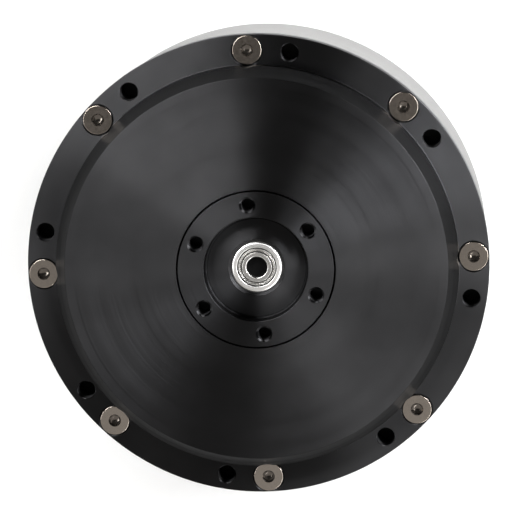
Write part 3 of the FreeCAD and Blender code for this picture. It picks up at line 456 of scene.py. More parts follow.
class Finish:
    """A new material, with short ways to add and join its nodes."""

    def __init__(self, name, colour, metallic, roughness):
        self.material = bpy.data.materials.new(name)
        self.material.use_nodes = True
        self.tree = self.material.node_tree
        self.shader = self.tree.nodes["Principled BSDF"]
        self.shader.inputs["Base Color"].default_value = (*colour, 1)
        self.shader.inputs["Metallic"].default_value = metallic
        self.shader.inputs["Roughness"].default_value = roughness
        self.place = self.add("ShaderNodeTexCoord").outputs["Object"]

    def add(self, kind, **settings):
        node = self.tree.nodes.new(kind)
        for name, setting in settings.items():
            setattr(node, name, setting)
        return node

    def feed(self, source, socket):
        """Joins another node's output to a socket, or sets the socket to a value."""
        if hasattr(source, "links"):
            self.tree.links.new(source, socket)
        else:
            socket.default_value = source

    def maths(self, operation, *sources):
        node = self.add("ShaderNodeMath", operation=operation)
        for source, socket in zip(sources, node.inputs):
            self.feed(source, socket)
        return node.outputs[0]

    def vector(self, operation, *sources):
        node = self.add("ShaderNodeVectorMath", operation=operation)
        for source, socket in zip(sources, node.inputs):
            self.feed(source, socket)
        return node.outputs["Value"] if operation in ("LENGTH", "DOT_PRODUCT") else node.outputs[0]

    def noise(self, scale, detail=3.0, place=None, flat=False):
        """Noise over the piece, or along one measure of it where it is flat."""
        node = self.add("ShaderNodeTexNoise", noise_dimensions="1D" if flat else "3D")
        self.feed(place or self.place, node.inputs["W" if flat else "Vector"])
        node.inputs["Scale"].default_value = scale
        node.inputs["Detail"].default_value = detail
        return node.outputs["Fac"]

    def spread(self, source, from_low, from_high, to_low, to_high):
        node = self.add("ShaderNodeMapRange", clamp=True)
        for value, socket in zip((source, from_low, from_high, to_low, to_high), node.inputs):
            self.feed(value, socket)
        return node.outputs[0]

    def varied(self, noise, least, most):
        """A noise, which keeps mostly between 0.3 and 0.7, spread between two values."""
        return self.spread(noise, 0.3, 0.7, least, most)

    def tint(self, share, first, second):
        """From the first colour to the second, by a share from 0 to 1."""
        node = self.add("ShaderNodeMix", data_type="RGBA")
        self.feed(share, node.inputs["Factor"])
        for colour, name in ((first, "A"), (second, "B")):
            socket = next(s for s in node.inputs if s.name == name and s.type == "RGBA")
            self.feed(colour if hasattr(colour, "links") else (*colour, 1), socket)
        return next(s for s in node.outputs if s.type == "RGBA")

    def bump(self, height, distance, normal=None):
        node = self.add("ShaderNodeBump")
        node.inputs["Distance"].default_value = distance * MM
        self.feed(height, node.inputs["Height"])
        if normal:
            self.feed(normal, node.inputs["Normal"])
        self.feed(node.outputs["Normal"], self.shader.inputs["Normal"])

    def radius(self):
        return self.vector("LENGTH", self.vector("MULTIPLY", self.place, (1, 1, 0)))

    def in_world(self, vector):
        turn = self.add("ShaderNodeVectorTransform", vector_type="VECTOR",
                        convert_from="OBJECT", convert_to="WORLD")
        self.feed(vector, turn.inputs[0])
        return turn.outputs[0]

    def height(self):
        parts = self.add("ShaderNodeSeparateXYZ")
        self.feed(self.place, parts.inputs[0])
        return parts.outputs["Z"]

    def sunk(self, face, deep):
        """0 down to just under the height of a face, rising to 1 at a depth under it."""
        return self.spread(self.height(), (face - deep) * MM, (face - FACE_SKIN) * MM, 1, 0)

    def outwards(self):
        """The direction straight away from the output axis."""
        return self.vector("NORMALIZE", self.vector("MULTIPLY", self.place, (1, 1, 0)))

    def leaning(self, slope):
        """The normal, leaning away from the axis as turning marks do."""
        normal = self.add("ShaderNodeNewGeometry").outputs["Normal"]
        lean = self.vector("MULTIPLY", self.in_world(self.outwards()), (slope,) * 3)
        return self.vector("NORMALIZE", self.vector("ADD", normal, lean))

    def across_grooves(self, anisotropy):
        """Turning marks run round the axis, so the gloss spreads square to them."""
        around = self.in_world(self.vector("CROSS_PRODUCT", (0, 0, 1), self.outwards()))
        normal = self.add("ShaderNodeNewGeometry").outputs["Normal"]
        square = self.vector("NORMALIZE", self.vector("CROSS_PRODUCT", around, normal))
        self.feed(square, self.shader.inputs["Tangent"])
        self.shader.inputs["Anisotropic"].default_value = anisotropy


def toned(colour, share):
    """The colour, lighter or darker."""
    return tuple(channel * share for channel in colour)


def turned_black(name, colour=(0.036, 0.036, 0.0374), roughness=0.37, anisotropy=0.95, bevel=(0, 0)):
    """Fine-turned aluminium, anodised black: gloss in fans, faint rings, slight cloudiness.
    Between the two radii of the bevel it is smoother, and painted darker as shade."""
    finish = Finish(name, colour, 1.0, roughness)
    finish.across_grooves(anisotropy)
    radius = finish.radius()
    rings = finish.noise(2600, 4.0, radius, flat=True)
    broad = finish.noise(240, 2.0, radius, flat=True)
    cloud = finish.noise(60, 3.0)
    gloss = finish.spread(finish.maths("ADD", rings, broad), 0.6, 1.4,
                          roughness - GLOSS_SWING, roughness + GLOSS_SWING)
    on_bevel = finish.maths("MULTIPLY", finish.maths("GREATER_THAN", radius, bevel[0] * MM),
                            finish.maths("LESS_THAN", radius, bevel[1] * MM))
    finish.feed(finish.maths("SUBTRACT", gloss, finish.maths("MULTIPLY", on_bevel, BEVEL_FINER)),
                finish.shader.inputs["Roughness"])
    cloudy = finish.tint(finish.varied(cloud, 0, 1), toned(colour, 1 - TONE_SWING),
                         toned(colour, 1 + TONE_SWING))
    # painted shade: the bevel's colour is darkened
    finish.feed(finish.tint(on_bevel, cloudy, toned(colour, BEVEL_SHADE_TONE)),
                finish.shader.inputs["Base Color"])
    finish.bump(rings, 0.004, normal=finish.leaning(GROOVE_LEAN))
    return finish.material


def clear_anodised(name, colour=(0.2, 0.197, 0.191), roughness=0.45, shade_within=None):
    """Matt silver with faint turning lines. Nearer the axis than the given radius it is painted dark, as
    shade in its holes and inside.
    """
    finish = Finish(name, colour, 1.0, roughness)
    lines = finish.noise(3000, 3.0, finish.height(), flat=True)
    grain = finish.noise(2500, 2.0)
    finish.feed(finish.varied(lines, roughness - 0.05, roughness + 0.08),
                finish.shader.inputs["Roughness"])
    finish.bump(finish.maths("ADD", lines, grain), 0.003)
    if shade_within:
        # painted shade: dark inside the given radius, silver outside it
        unshaded = finish.spread(finish.radius(), shade_within * MM, (shade_within + SHADE_FADE) * MM,
                             0, 1)
        finish.feed(finish.tint(unshaded, PAINTED_SHADE, colour), finish.shader.inputs["Base Color"])
    return finish.material


def steel(name, colour=(0.6, 0.59, 0.57), roughness=0.22, grain=900, tint=0.1, face=None):
    """Bare or plated metal with fine marks and slight unevenness of tone. Sockets sunk under the height of
    the face are painted darker, as shade."""
    finish = Finish(name, colour, 1.0, roughness)
    marks = finish.noise(grain, 3.0)
    tone = finish.tint(finish.noise(grain / 6, 2.0), toned(colour, 1 - tint), colour)
    if face:
        # painted shade in the sockets under the face
        tone = finish.tint(finish.sunk(face, SOCKET_SHADE_DEEP), tone, toned(colour, SOCKET_SHADE_TONE))
    finish.feed(tone, finish.shader.inputs["Base Color"])
    finish.feed(finish.varied(marks, roughness * 0.8, roughness * 1.25),
                finish.shader.inputs["Roughness"])
    finish.bump(marks, 0.002)
    return finish.material


def ground_steel(name, colour=(0.72, 0.71, 0.69), roughness=0.26, slope=0.0, face=None):
    """Bearing steel: bright, with fine rings. Grooves sunk under the height of the face are painted dark,
    as shade.
    """
    finish = Finish(name, colour, 1.0, roughness)
    rings = finish.noise(7000, 3.0, finish.radius(), flat=True)
    finish.feed(finish.varied(rings, roughness - 0.06, roughness + 0.08),
                finish.shader.inputs["Roughness"])
    if face:
        # painted shade in the grooves under the face
        finish.feed(finish.tint(finish.sunk(face, GROOVE_SHADE_DEEP), colour, PAINTED_SHADE),
                    finish.shader.inputs["Base Color"])
    finish.bump(rings, 0.0015, normal=finish.leaning(slope))
    return finish.material


def moulded(name, colour, roughness=0.4):
    """Moulded plastic with a fine sparked texture."""
    finish = Finish(name, colour, 0.0, roughness)
    grain = finish.noise(4000, 2.0)
    finish.feed(finish.varied(grain, roughness - 0.06, roughness + 0.08),
                finish.shader.inputs["Roughness"])
    finish.feed(finish.tint(finish.noise(250, 2.0), toned(colour, PLASTIC_TONE), colour),
                finish.shader.inputs["Base Color"])
    finish.bump(grain, 0.004)
    return finish.material


MATERIALS = {
    # the cover's bevel and the band round the hub's recess are painted darker as shade
    "black_anodised": turned_black("black anodised cover", bevel=(PLATEAU_R, SHOULDER_R)),
    "black_anodised_hub": turned_black("black anodised hub", (0.034, 0.034, 0.0355),
                                       bevel=(RECESS_R - RECESS_CORNER, RECESS_R + BEVEL_MARGIN)),
    # the barrel's holes and inside are painted dark as shade
    "silver_barrel": clear_anodised("clear anodised barrel", shade_within=BARREL_R - BARREL_SHADE_DEPTH),
    "black_cover": turned_black("black anodised rear", (0.033, 0.033, 0.034), 0.45, 0.8),
    # the hex sockets are painted dark as shade
    "screw_steel": steel("stainless screw", (0.5, 0.445, 0.395), 0.15, 1800, 0.15, RIM_FACE),
    "dark_screw": steel("black oxide screw", (0.05, 0.05, 0.055), 0.35),
    "gear_steel": steel("ground gear steel", (0.46, 0.47, 0.48), 0.25, 2200),
    "bearing_steel": ground_steel("bearing steel"),
    # the shield's grooves are painted dark as shade
    "bearing_shield": ground_steel("pressed bearing shield", (0.78, 0.77, 0.75), 0.22,
                                   face=high("centre_bearing_shield").z),
    "bush_bronze": steel("sintered bronze", (0.62, 0.4, 0.2), 0.4, 3500, 0.3),
    "rotor_alloy": steel("machined alloy", (0.72, 0.72, 0.73), 0.3, 1500),
    "magnet_nickel": steel("nickel plating", (0.62, 0.61, 0.58), 0.16, 700),
    "rotor_iron": steel("turned rotor steel", (0.32, 0.32, 0.33), 0.3, 1600),
    "lamination": clear_anodised("stacked laminations", (0.32, 0.33, 0.36), 0.4),
    "copper": steel("enamelled copper", (0.7, 0.27, 0.11), 0.25, 1200, 0.3),
    "board_green": moulded("solder mask", (0.012, 0.09, 0.04), 0.3),
    "chip_black": moulded("moulded epoxy", (0.02, 0.02, 0.021), 0.5),
    "pad_grey": moulded("thermal pad", (0.35, 0.38, 0.42), 0.7),
    "socket_yellow": moulded("yellow nylon", (0.78, 0.5, 0.03), 0.35),
    "socket_white": moulded("ivory nylon", (0.78, 0.75, 0.66), 0.4),
    "pin_gold": steel("gold plated pin", (0.83, 0.6, 0.24), 0.2, 900),
}

# finishes of pieces painted unlike the rest of their slot: near-black steel as shade, and a lighter bearing
# ring as highlight
PAINTED_SHADE_STEEL = steel("steel painted dark as shade", (0.006, 0.006, 0.006), 0.6)
# a lighter copy of the bearing steel: painted highlight on the centre bearing's outer ring
PAINTED_LIGHT_RING = ground_steel("bearing ring painted lighter", (0.85, 0.84, 0.82), 0.3, RING_LEAN)


def dress(piece, slot, body, *replaced):
    """Finish, body and the nodes that a piece stands for."""
    piece.data.materials.clear()
    piece.data.materials.append(MATERIALS[slot])
    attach(piece, body)
    if replaced:
        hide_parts(*replaced)
    return piece


def dress_nodes():
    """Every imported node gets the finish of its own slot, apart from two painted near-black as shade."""
    for part in frame["record"]["subparts"]:
        piece = nodes[part["node"]]
        piece.data.materials.clear()
        piece.data.materials.append(MATERIALS[part["material_slot"]])
    # the shaft in its bore and the bearing seen through the hub's gap are painted dark as shade
    for node in ("sun_shaft", "output_bearing_inner"):
        nodes[node].data.materials[0] = PAINTED_SHADE_STEEL


# ---------------------------------------------------------------------------------------------
# Housing
# ---------------------------------------------------------------------------------------------
def cover_cutters():
    """Screw seats open upwards, bevelled mounting holes and slots for the ring gear's pins."""
    pocket_floor = RIM_FACE - SEAT_DEEP
    seat = turned("seat", [
        (0, BARREL_TOP - CLEAR),
        (SEAT_SHANK_R, BARREL_TOP - CLEAR),
        (SEAT_SHANK_R, pocket_floor - (SEAT_R - SEAT_SHANK_R)),
        (SEAT_R, pocket_floor),
        (SEAT_R, PLATEAU + CLEAR),
        (0, PLATEAU + CLEAR),
    ], HOLE_STEPS)
    hole = turned("hole", [
        (0, BARREL_TOP - CLEAR),
        (MOUNT_HOLE_R, BARREL_TOP - CLEAR),
        (MOUNT_HOLE_R, RIM_FACE - HOLE_EDGE),
        (MOUNT_HOLE_R + HOLE_EDGE + CLEAR, RIM_FACE + CLEAR),
        (0, RIM_FACE + CLEAR),
    ], HOLE_STEPS)
    slot = bore("pin slot", RING_PIN_R, SKIRT_BOTTOM - CLEAR, GEAR_TOP)
    return joined("cutters", [
        ring_of(seat, BOLT_COUNT, BOLT_R, 0, None),
        ring_of(hole, BOLT_COUNT, BOLT_R, MOUNT_ANGLE, None),
        ring_of(slot, RING_PIN_COUNT, RING_R, RING_PIN_ANGLE, None),
    ])


def front_cover():
    """Cover with its rim, wall and bevel, the output bearing's seat and the ring gear's skirt."""
    lip_r = HUB_R + LIP_GAP + GAP_WIDER
    cover = turned("front_cover_turned", [
        (lip_r, PLATEAU),
        (lip_r, BEARING_TOP),
        (BEARING_R, BEARING_TOP),
        (BEARING_R, BEARING_BOTTOM),
        (BEARING_R + BOSS_WALL, BEARING_BOTTOM),
        (BEARING_R + BOSS_WALL, WEB_UNDER),
        (LEDGE_R, WEB_UNDER),
        (LEDGE_R, GEAR_TOP),
        (RING_R, GEAR_TOP),
        (RING_R, SKIRT_BOTTOM),
        (RING_R + SKIRT_WALL, SKIRT_BOTTOM),
        (RING_R + SKIRT_WALL, WEB_UNDER),
        (SHELL_R, WEB_UNDER),
        (SHELL_R, BARREL_TOP - SPIGOT_LONG),
        (SPIGOT_R, BARREL_TOP - SPIGOT_LONG),
        (SPIGOT_R, BARREL_TOP),
        (RIM_R, BARREL_TOP, FINE_EDGE),
        (RIM_R, RIM_FACE, RIM_EDGE),
        (SHOULDER_R, RIM_FACE, FINE_EDGE),
        (SHOULDER_R, SHOULDER_TOP, FINE_EDGE),
        (PLATEAU_R, PLATEAU, FINE_EDGE),
    ])
    cut(cover, cover_cutters())
    return dress(smooth(cover), "black_anodised", "housing", "front_cover")


def cover_screws():
    """Flat-head screws with hex sockets, their heads flush with the rim."""
    cone = SCREW_HEAD_R - SCREW_R
    screw = turned("cover_screws_socketed", [
        (0, RIM_FACE),
        (SCREW_HEAD_R, RIM_FACE, SCREW_HEAD_EDGE),
        (SCREW_HEAD_R, RIM_FACE - SCREW_LAND),
        (SCREW_R, RIM_FACE - SCREW_LAND - cone),
        (SCREW_R, RIM_FACE - SCREW_LONG + SCREW_TIP),
        (SCREW_R - SCREW_TIP, RIM_FACE - SCREW_LONG),
        (0, RIM_FACE - SCREW_LONG),
    ], FINE_STEPS)
    mouth_r = HEX_ACROSS / math.sqrt(3) + HEX_BEVEL
    mouth = turned("mouth", [
        (0, RIM_FACE - mouth_r), (mouth_r + CLEAR, RIM_FACE + CLEAR), (0, RIM_FACE + CLEAR),
    ], HOLE_STEPS)
    hex_floor = RIM_FACE - HEX_DEEP
    drill = turned("drill", [
        (0, hex_floor - HEX_DRILL_POINT), (HEX_DRILL_R, hex_floor),
        (HEX_DRILL_R, hex_floor + HEX_DRILL_OVERLAP), (0, hex_floor + HEX_DRILL_OVERLAP),
    ], HOLE_STEPS)
    cut(screw, prism("hex", hexagon(HEX_ACROSS), hex_floor, RIM_FACE + CLEAR))
    cut(screw, mouth)
    cut(screw, drill)
    ring_of(smooth(screw), BOLT_COUNT, BOLT_R, 0, MATERIALS["screw_steel"])
    return dress(screw, "screw_steel", "housing", "cover_screws")


def barrel_cutters():
    """Tapped holes in the collar, and holes and lead slots through the bulkhead."""
    floor, roof = BARREL_TOP - HOLE_DEEP, BARREL_TOP + CLEAR
    across, along = LEAD_SLOT[0] / 2, LEAD_SLOT[1] / 2
    corners = [(-across, -along), (across, -along), (across, along), (-across, along)]
    slot = prism("lead slot", corners, REAR_TOP - CLEAR, BULKHEAD_TOP + CLEAR)
    rear = bore("rear bore", REAR_SCREW_R, REAR_TOP - CLEAR, BULKHEAD_TOP + CLEAR)
    return joined("cutters", [
        ring_of(bore("screw bore", SCREW_R, floor, roof), BOLT_COUNT, BOLT_R, 0, None),
        ring_of(bore("mount bore", MOUNT_HOLE_R, floor, roof), BOLT_COUNT, BOLT_R, MOUNT_ANGLE, None),
        ring_of(rear, REAR_BOLT_COUNT, REAR_BOLT_R, 0, None),
        ring_of(slot, LEAD_COUNT, LEAD_R, LEAD_ANGLE, None),
    ])


def barrel():
    """Outer tube, bulkhead and bearing tube, turned in one piece."""
    bore_r, collar_r = BARREL_R - BARREL_WALL, BARREL_R - COLLAR_WALL
    collar_bottom = BARREL_TOP - COLLAR_LONG
    shell = turned("barrel_turned", [
        (REAR_LIP_BORE_R, REAR_TOP),
        (BARREL_R, REAR_TOP, BARREL_FOOT_EDGE),
        (BARREL_R, BARREL_TOP, FINE_EDGE),
        (collar_r, BARREL_TOP),
        (collar_r, collar_bottom),
        (bore_r, collar_bottom - (bore_r - collar_r)),
        (bore_r, BULKHEAD_TOP),
        (TUBE_R, BULKHEAD_TOP),
        (TUBE_R, TUBE_TOP),
        (RACE_R, TUBE_TOP),
        (RACE_R, RACE_BOTTOM),
        (REAR_LIP_BORE_R, RACE_BOTTOM),
    ])
    cut(shell, barrel_cutters())
    return dress(smooth(shell), "silver_barrel", "housing", "barrel")


def rear_cover():
    """Dished cover with screw bosses, open at one side for the sockets."""
    dish = turned("rear_cover_turned", [
        (0, 0),
        (REAR_R - REAR_BEVEL, 0, REAR_EDGE),
        (REAR_R, REAR_BEVEL, REAR_EDGE),
        (REAR_R, REAR_TOP, FINE_EDGE),
        (REAR_R - REAR_WALL, REAR_TOP),
        (REAR_R - REAR_WALL, REAR_FLOOR),
        (0, REAR_FLOOR),
    ])
    boss = bore("boss", REAR_BOSS_R, REAR_FLOOR / 2, REAR_TOP)
    cut(dish, ring_of(boss, REAR_BOLT_COUNT, REAR_BOLT_R, 0, None), "UNION")
    head_r = REAR_HEAD_R + SCREW_GAP
    seat = turned("seat", [
        (0, -CLEAR),
        (head_r + REAR_SEAT_BEVEL + CLEAR, -CLEAR),
        (head_r, REAR_SEAT_BEVEL),
        (head_r, REAR_HEAD_HIGH),
        (REAR_SCREW_R + SCREW_GAP, REAR_HEAD_HIGH),
        (REAR_SCREW_R + SCREW_GAP, REAR_TOP + CLEAR),
        (0, REAR_TOP + CLEAR),
    ], HOLE_STEPS)
    seats = ring_of(seat, REAR_BOLT_COUNT, REAR_BOLT_R, 0, None)
    outside, inside = -REAR_R - CLEAR, high("power_socket").y
    corners = [(-WINDOW_HALF, outside), (WINDOW_HALF, outside),
               (WINDOW_HALF, inside), (-WINDOW_HALF, inside)]
    window = prism("window", corners, WINDOW_SILL, REAR_TOP + CLEAR)
    cut(dish, joined("cutters", [seats, window]))
    return dress(smooth(dish), "black_cover", "housing", "rear_cover")


def rear_screws():
    """Cap screws with hex sockets, their heads flush with the rear face."""
    end = high("rear_screws").z
    screw = turned("rear_screws_socketed", [
        (0, 0),
        (REAR_HEAD_R, 0, REAR_HEAD_EDGE),
        (REAR_HEAD_R, REAR_HEAD_HIGH),
        (REAR_SCREW_R, REAR_HEAD_HIGH),
        (REAR_SCREW_R, end - SCREW_TIP),
        (REAR_SCREW_R - SCREW_TIP, end),
        (0, end),
    ], HOLE_STEPS)
    cut(screw, prism("hex", hexagon(REAR_HEX_ACROSS), -CLEAR, REAR_HEX_DEEP))
    ring_of(smooth(screw), REAR_BOLT_COUNT, REAR_BOLT_R, 0, MATERIALS["dark_screw"])
    return dress(screw, "dark_screw", "housing", "rear_screws")


def rounded_box(name, x_mid, z_mid, wide, tall, edge, front, back):
    """A block along Y with rounded long edges, from y = front to y = back."""
    corners = []
    for x_side, z_side, start in ((1, 1, 0), (-1, 1, 90), (-1, -1, 180), (1, -1, 270)):
        for step in range(ARC_STEPS + 1):
            x, z = polar(edge, start + 90 * step / ARC_STEPS)[:2]
            corners.append((x_side * (wide / 2 - edge) + x, z_side * (tall / 2 - edge) + z))
    piece = prism(name, corners, -back, -front)
    piece.data.transform(Matrix.Rotation(math.radians(90), 4, "X"))
    return moved(piece, (x_mid, 0, z_mid))


def sockets():
    """Shrouded power socket between two signal sockets, open outwards."""
    for node, slot in (("power_socket", "socket_yellow"), ("bus_socket", "socket_white"),
                       ("setup_socket", "socket_white")):
        start, end = low(node), high(node)
        middle, size = (start + end) / 2, end - start
        shell = rounded_box(node + "_moulded", middle.x, middle.z, size.x, size.z, SOCKET_EDGE,
                            start.y, end.y)
        mouth = rounded_box("mouth", middle.x, middle.z, size.x - 2 * SOCKET_WALL,
                            size.z - 2 * SOCKET_WALL, SOCKET_EDGE / 2, start.y - CLEAR,
                            end.y - 2 * SOCKET_WALL)
        cut(shell, mouth)
        edges = shell.modifiers.new("edges", "BEVEL")
        edges.width, edges.segments = SOCKET_BEVEL * MM, 2
        edges.limit_method, edges.angle_limit = "ANGLE", math.radians(SOCKET_BEVEL_ANGLE)
        finished(shell)
        dress(smooth(shell, SOCKET_CREASE), slot, "housing", node)


def socket_pins():
    """Round power pins with rounded tips, and square signal pins with rounded edges."""
    start, end = low("socket_pins"), high("socket_pins")
    tip, root, height = start.y, end.y, (start.z + end.z) / 2
    pins = []
    for side in (-1, 1):
        pin = turned("power pin", [
            (0, -root), (POWER_PIN_R, -root), (POWER_PIN_R, -tip, POWER_PIN_TIP), (0, -tip),
        ], HOLE_STEPS)
        pin.data.transform(Matrix.Rotation(math.radians(90), 4, "X"))
        pins.append(moved(pin, (side * POWER_PIN_PITCH / 2, 0, height)))
    for node in ("bus_socket", "setup_socket"):
        middle = (low(node).x + high(node).x) / 2
        pitch = (high(node).x - low(node).x - 2 * SOCKET_WALL) / SIGNAL_PIN_COUNT
        for number in range(SIGNAL_PIN_COUNT):
            place = middle + (number - (SIGNAL_PIN_COUNT - 1) / 2) * pitch
            pins.append(rounded_box("signal pin", place, height, SIGNAL_PIN_SIDE,
                                    SIGNAL_PIN_SIDE, SIGNAL_PIN_EDGE, tip, root))
    pins = joined("socket_pins_plated", pins)
    return dress(smooth(pins), "pin_gold", "housing", "socket_pins")


# ---------------------------------------------------------------------------------------------
# Output hub and centre bearing
# ---------------------------------------------------------------------------------------------
def output_hub():
    """Hub with its recess and bolt holes, the carrier's front plate and its posts, in one piece."""
    plate_top = FRONT_PLATE + CARRIER_PLATE
    hub = turned("output_hub_turned", [
        (CARRIER_BORE_R, FRONT_PLATE),
        (CARRIER_R, FRONT_PLATE, FINE_EDGE),
        (CARRIER_R, plate_top, FINE_EDGE),
        (HUB_SHOULDER_R, plate_top),
        (HUB_SHOULDER_R, BEARING_BOTTOM),
        (HUB_R - GAP_WIDER, BEARING_BOTTOM),
        (HUB_R - GAP_WIDER, OUTPUT_FACE),
        (RECESS_R, OUTPUT_FACE, RECESS_EDGE),
        (RECESS_R, RECESS_FLOOR, RECESS_CORNER),
        (NOSE_R + POCKET_BEVEL, RECESS_FLOOR),
        (NOSE_R, RECESS_FLOOR - POCKET_BEVEL),
        (NOSE_R, NOSE_BOTTOM),
        (CARRIER_BORE_R, NOSE_BOTTOM),
    ])
    hole = turned("hole", [
        (0, OUTPUT_FACE - OUTPUT_HOLE_DEEP),
        (OUTPUT_HOLE_R, OUTPUT_FACE - OUTPUT_HOLE_DEEP),
        (OUTPUT_HOLE_R, OUTPUT_FACE - OUTPUT_HOLE_BEVEL),
        (OUTPUT_HOLE_R + OUTPUT_HOLE_BEVEL + CLEAR, OUTPUT_FACE + CLEAR),
        (0, OUTPUT_FACE + CLEAR),
    ], HOLE_STEPS)
    post_foot = high("carrier_rear_plate").z
    post = bore("post", POST_R, post_foot, FRONT_PLATE + CLEAR)
    tapped = bore("post hole", SCREW_R, post_foot - CLEAR, post_foot + POST_HOLE_DEEP)
    pin = bore("pin hole", PIN_R, FRONT_PLATE - CLEAR, high("planet_pins").z)
    cut(hub, ring_of(post, POST_COUNT, POST_CIRCLE_R, POST_ANGLE, None), "UNION")
    cut(hub, joined("cutters", [
        ring_of(hole, OUTPUT_BOLT_COUNT, OUTPUT_BOLT_R, OUTPUT_ANGLE, None),
        ring_of(tapped, POST_COUNT, POST_CIRCLE_R, POST_ANGLE, None),
        ring_of(pin, POST_COUNT, ORBIT_R, POST_ANGLE - 180 / POST_COUNT, None),
    ]))
    return dress(smooth(hub), "black_anodised_hub", "output", "output_flange")


def centre_bearing():
    """Outer ring, pressed shield and inner ring of the bearing in the recess."""
    outer_bore = high("centre_bearing_shield").x
    inner_r = high("centre_bearing_inner").x
    outer = turned("centre_bearing_outer_ground", [
        (outer_bore, NOSE_BOTTOM),
        (NOSE_R, NOSE_BOTTOM, OUTER_RING_FOOT),
        (NOSE_R, NOSE_TOP, OUTER_RING_CORNER),
        (outer_bore, NOSE_TOP, RACE_BORE_EDGE),
    ], FINE_STEPS)
    dress(smooth(outer), "bearing_steel", "output", "centre_bearing_outer")
    # the outer ring gets the lighter copy, a painted highlight
    outer.data.materials[0] = PAINTED_LIGHT_RING
    inner = turned("centre_bearing_inner_ground", [
        (CENTRE_BORE_R, NOSE_BOTTOM, INNER_RING_FOOT),
        (inner_r, NOSE_BOTTOM),
        (inner_r, NOSE_TOP, INNER_RING_EDGE),
        (CENTRE_BORE_R, NOSE_TOP, RACE_BORE_EDGE),
    ], FINE_STEPS)
    dress(smooth(inner), "bearing_steel", "rotor", "centre_bearing_inner")
    top = high("centre_bearing_shield").z
    bottom, groove_floor, flat = top - SHIELD_THICK, top - SHIELD_GROOVE_DEEP, top - SHIELD_DISH
    ridge_r = outer_bore - SHIELD_GROOVE - SHIELD_SLOPE / 2
    shield = turned("centre_bearing_shield_pressed", [
        (inner_r + SHIELD_SLOPE, bottom),
        (outer_bore, bottom),
        (outer_bore, groove_floor),
        (outer_bore - SHIELD_GROOVE, groove_floor),
        (ridge_r, top, SHIELD_EDGE),
        (ridge_r - SHIELD_RIDGE, top, SHIELD_EDGE),
        (ridge_r - SHIELD_RIDGE - SHIELD_SLOPE, flat),
        (inner_r + 2 * SHIELD_SLOPE, flat),
        (inner_r + SHIELD_SLOPE, groove_floor),
    ], FINE_STEPS)
    return dress(smooth(shield), "bearing_shield", "output", "centre_bearing_shield")


# ---------------------------------------------------------------------------------------------
# Camera, lights and floor
# ---------------------------------------------------------------------------------------------
CAMERA_AWAY = 700.0
CAMERA_TILT = 9.39          # off the output axis
CAMERA_AZIMUTH = 63.14      # the way it leans, from +X
VIEW_RIGHT = -2.9           # direction that the camera shows as right, from +X
CAMERA_LENS = 253.4
AIM_RIGHT = 0.14            # what the camera aims at, from the rim's centre
AIM_UP = 1.29
CAMERA_CLIP = (0.01, 20)    # nearest and farthest, in metres
NEAR_LIGHT = 350.0
FAR_LIGHT = 700.0
STUDIO_COLOUR = (1.0, 0.97, 0.93)
TABLE_EDGE = (-0.15, -0.10)  # Y of the direction in which the table's glow starts and ends its fall
TABLE_GLOW = 0.42
STUDIO_GLOW = 0.05
FLOOR_HALF = 3000.0
FLOOR_THICK = 10.0
FLOOR_COLOUR = (0.77, 0.77, 0.77)


def pointed(thing, place, target, up):
    """Puts a camera or light at a place, looking at a target, with up towards its top."""
    backwards = (place - target).normalized()
    right = up.cross(backwards).normalized()
    turn = Matrix((right, backwards.cross(right), backwards)).transposed().to_4x4()
    thing.matrix_world = Matrix.Translation(place * MM) @ turn


def add_camera():
    data = bpy.data.cameras.new("camera")
    data.lens = CAMERA_LENS
    data.clip_start, data.clip_end = CAMERA_CLIP
    camera = bpy.data.objects.new("camera", data)
    bpy.context.scene.collection.objects.link(camera)
    tilt = math.radians(CAMERA_TILT)
    away = polar(math.sin(tilt), CAMERA_AZIMUTH, math.cos(tilt))
    right, up = polar(1, VIEW_RIGHT), polar(1, VIEW_RIGHT + 90)
    centre = Vector((0, 0, RIM_FACE))
    target = centre + right * AIM_RIGHT + up * AIM_UP
    pointed(camera, centre + away * CAMERA_AWAY, target, up)
    bpy.context.scene.camera = camera


def add_light(name, azimuths, elevations, distance, radiance, colour=(1, 1, 1)):
    """A soft box that faces the rim's centre and fills the given angles as seen from there."""
    data = bpy.data.lights.new(name, "AREA")
    data.shape = "RECTANGLE"
    azimuth, elevation = sum(azimuths) / 2, sum(elevations) / 2
    raised = math.radians(elevation)
    wide = 2 * distance * math.cos(raised) * math.tan(math.radians(azimuths[1] - azimuths[0]) / 2)
    tall = 2 * distance * math.tan(math.radians(elevations[1] - elevations[0]) / 2)
    data.size, data.size_y = wide * MM, tall * MM
    data.energy = radiance * math.pi * wide * tall * MM ** 2
    data.color = colour
    lamp = bpy.data.objects.new(name, data)
    bpy.context.scene.collection.objects.link(lamp)
    away = polar(math.cos(raised), azimuth, math.sin(raised))
    centre = Vector((0, 0, RIM_FACE))
    pointed(lamp, centre + away * distance, centre, Vector((0, 0, 1)))


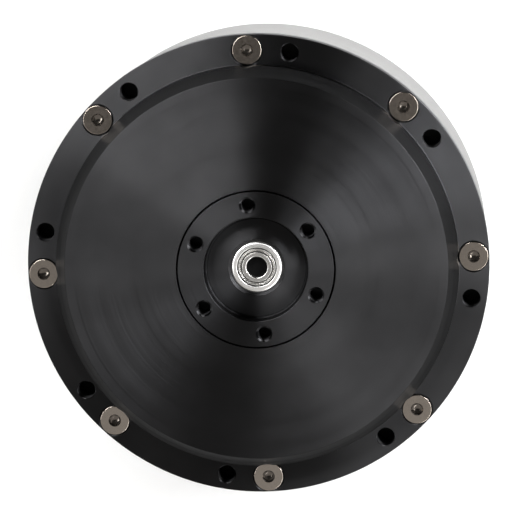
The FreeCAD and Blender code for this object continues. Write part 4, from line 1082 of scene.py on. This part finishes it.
def add_world():
    """Dim studio, with a brighter table towards -Y."""
    world = bpy.data.worlds.new("studio")
    world.use_nodes = True
    tree = world.node_tree
    way = tree.nodes.new("ShaderNodeTexCoord")
    parts = tree.nodes.new("ShaderNodeSeparateXYZ")
    glow = tree.nodes.new("ShaderNodeMapRange")
    glow.interpolation_type = "SMOOTHSTEP"
    tree.links.new(way.outputs["Generated"], parts.inputs[0])
    tree.links.new(parts.outputs["Y"], glow.inputs["Value"])
    for name, value in (("From Min", TABLE_EDGE[0]), ("From Max", TABLE_EDGE[1]),
                        ("To Min", TABLE_GLOW), ("To Max", STUDIO_GLOW)):
        glow.inputs[name].default_value = value
    tree.links.new(glow.outputs[0], tree.nodes["Background"].inputs["Strength"])
    tree.nodes["Background"].inputs["Color"].default_value = (*STUDIO_COLOUR, 1)
    bpy.context.scene.world = world


def add_lights():
    """Each box by its azimuths, elevations, distance and radiance."""
    add_light("right box", (8, 42), (26, 44), NEAR_LIGHT, 29, (0.97, 0.98, 1.0))
    add_light("right high box", (-15, 8), (42, 60), NEAR_LIGHT, 10)
    add_light("right flank", (42, 62), (26, 42), NEAR_LIGHT, 9)
    add_light("left box", (99, 154), (34, 54), NEAR_LIGHT, 14.5)
    add_light("left flank", (154, 195), (38, 58), FAR_LIGHT, 5)
    add_light("low right box", (-76, -6), (34, 54), FAR_LIGHT, 5.5)


def add_floor():
    finish = Finish("pale floor", FLOOR_COLOUR, 0.0, 0.8)
    finish.feed(finish.spread(finish.noise(3, 2.0), 0, 1, 0.78, 0.84),
                finish.shader.inputs["Roughness"])
    half = FLOOR_HALF
    corners = [(-half, -half), (half, -half), (half, half), (-half, half)]
    floor = prism("floor", corners, -FLOOR_THICK, 0)
    floor.data.materials.append(finish.material)


# ---------------------------------------------------------------------------------------------
# The whole scene
# ---------------------------------------------------------------------------------------------
bpy.context.scene.view_settings.view_transform = "Standard"
dress_nodes()
front_cover()
cover_screws()
barrel()
rear_cover()
rear_screws()
sockets()
socket_pins()
output_hub()
centre_bearing()
add_camera()
add_lights()
add_world()
add_floor()
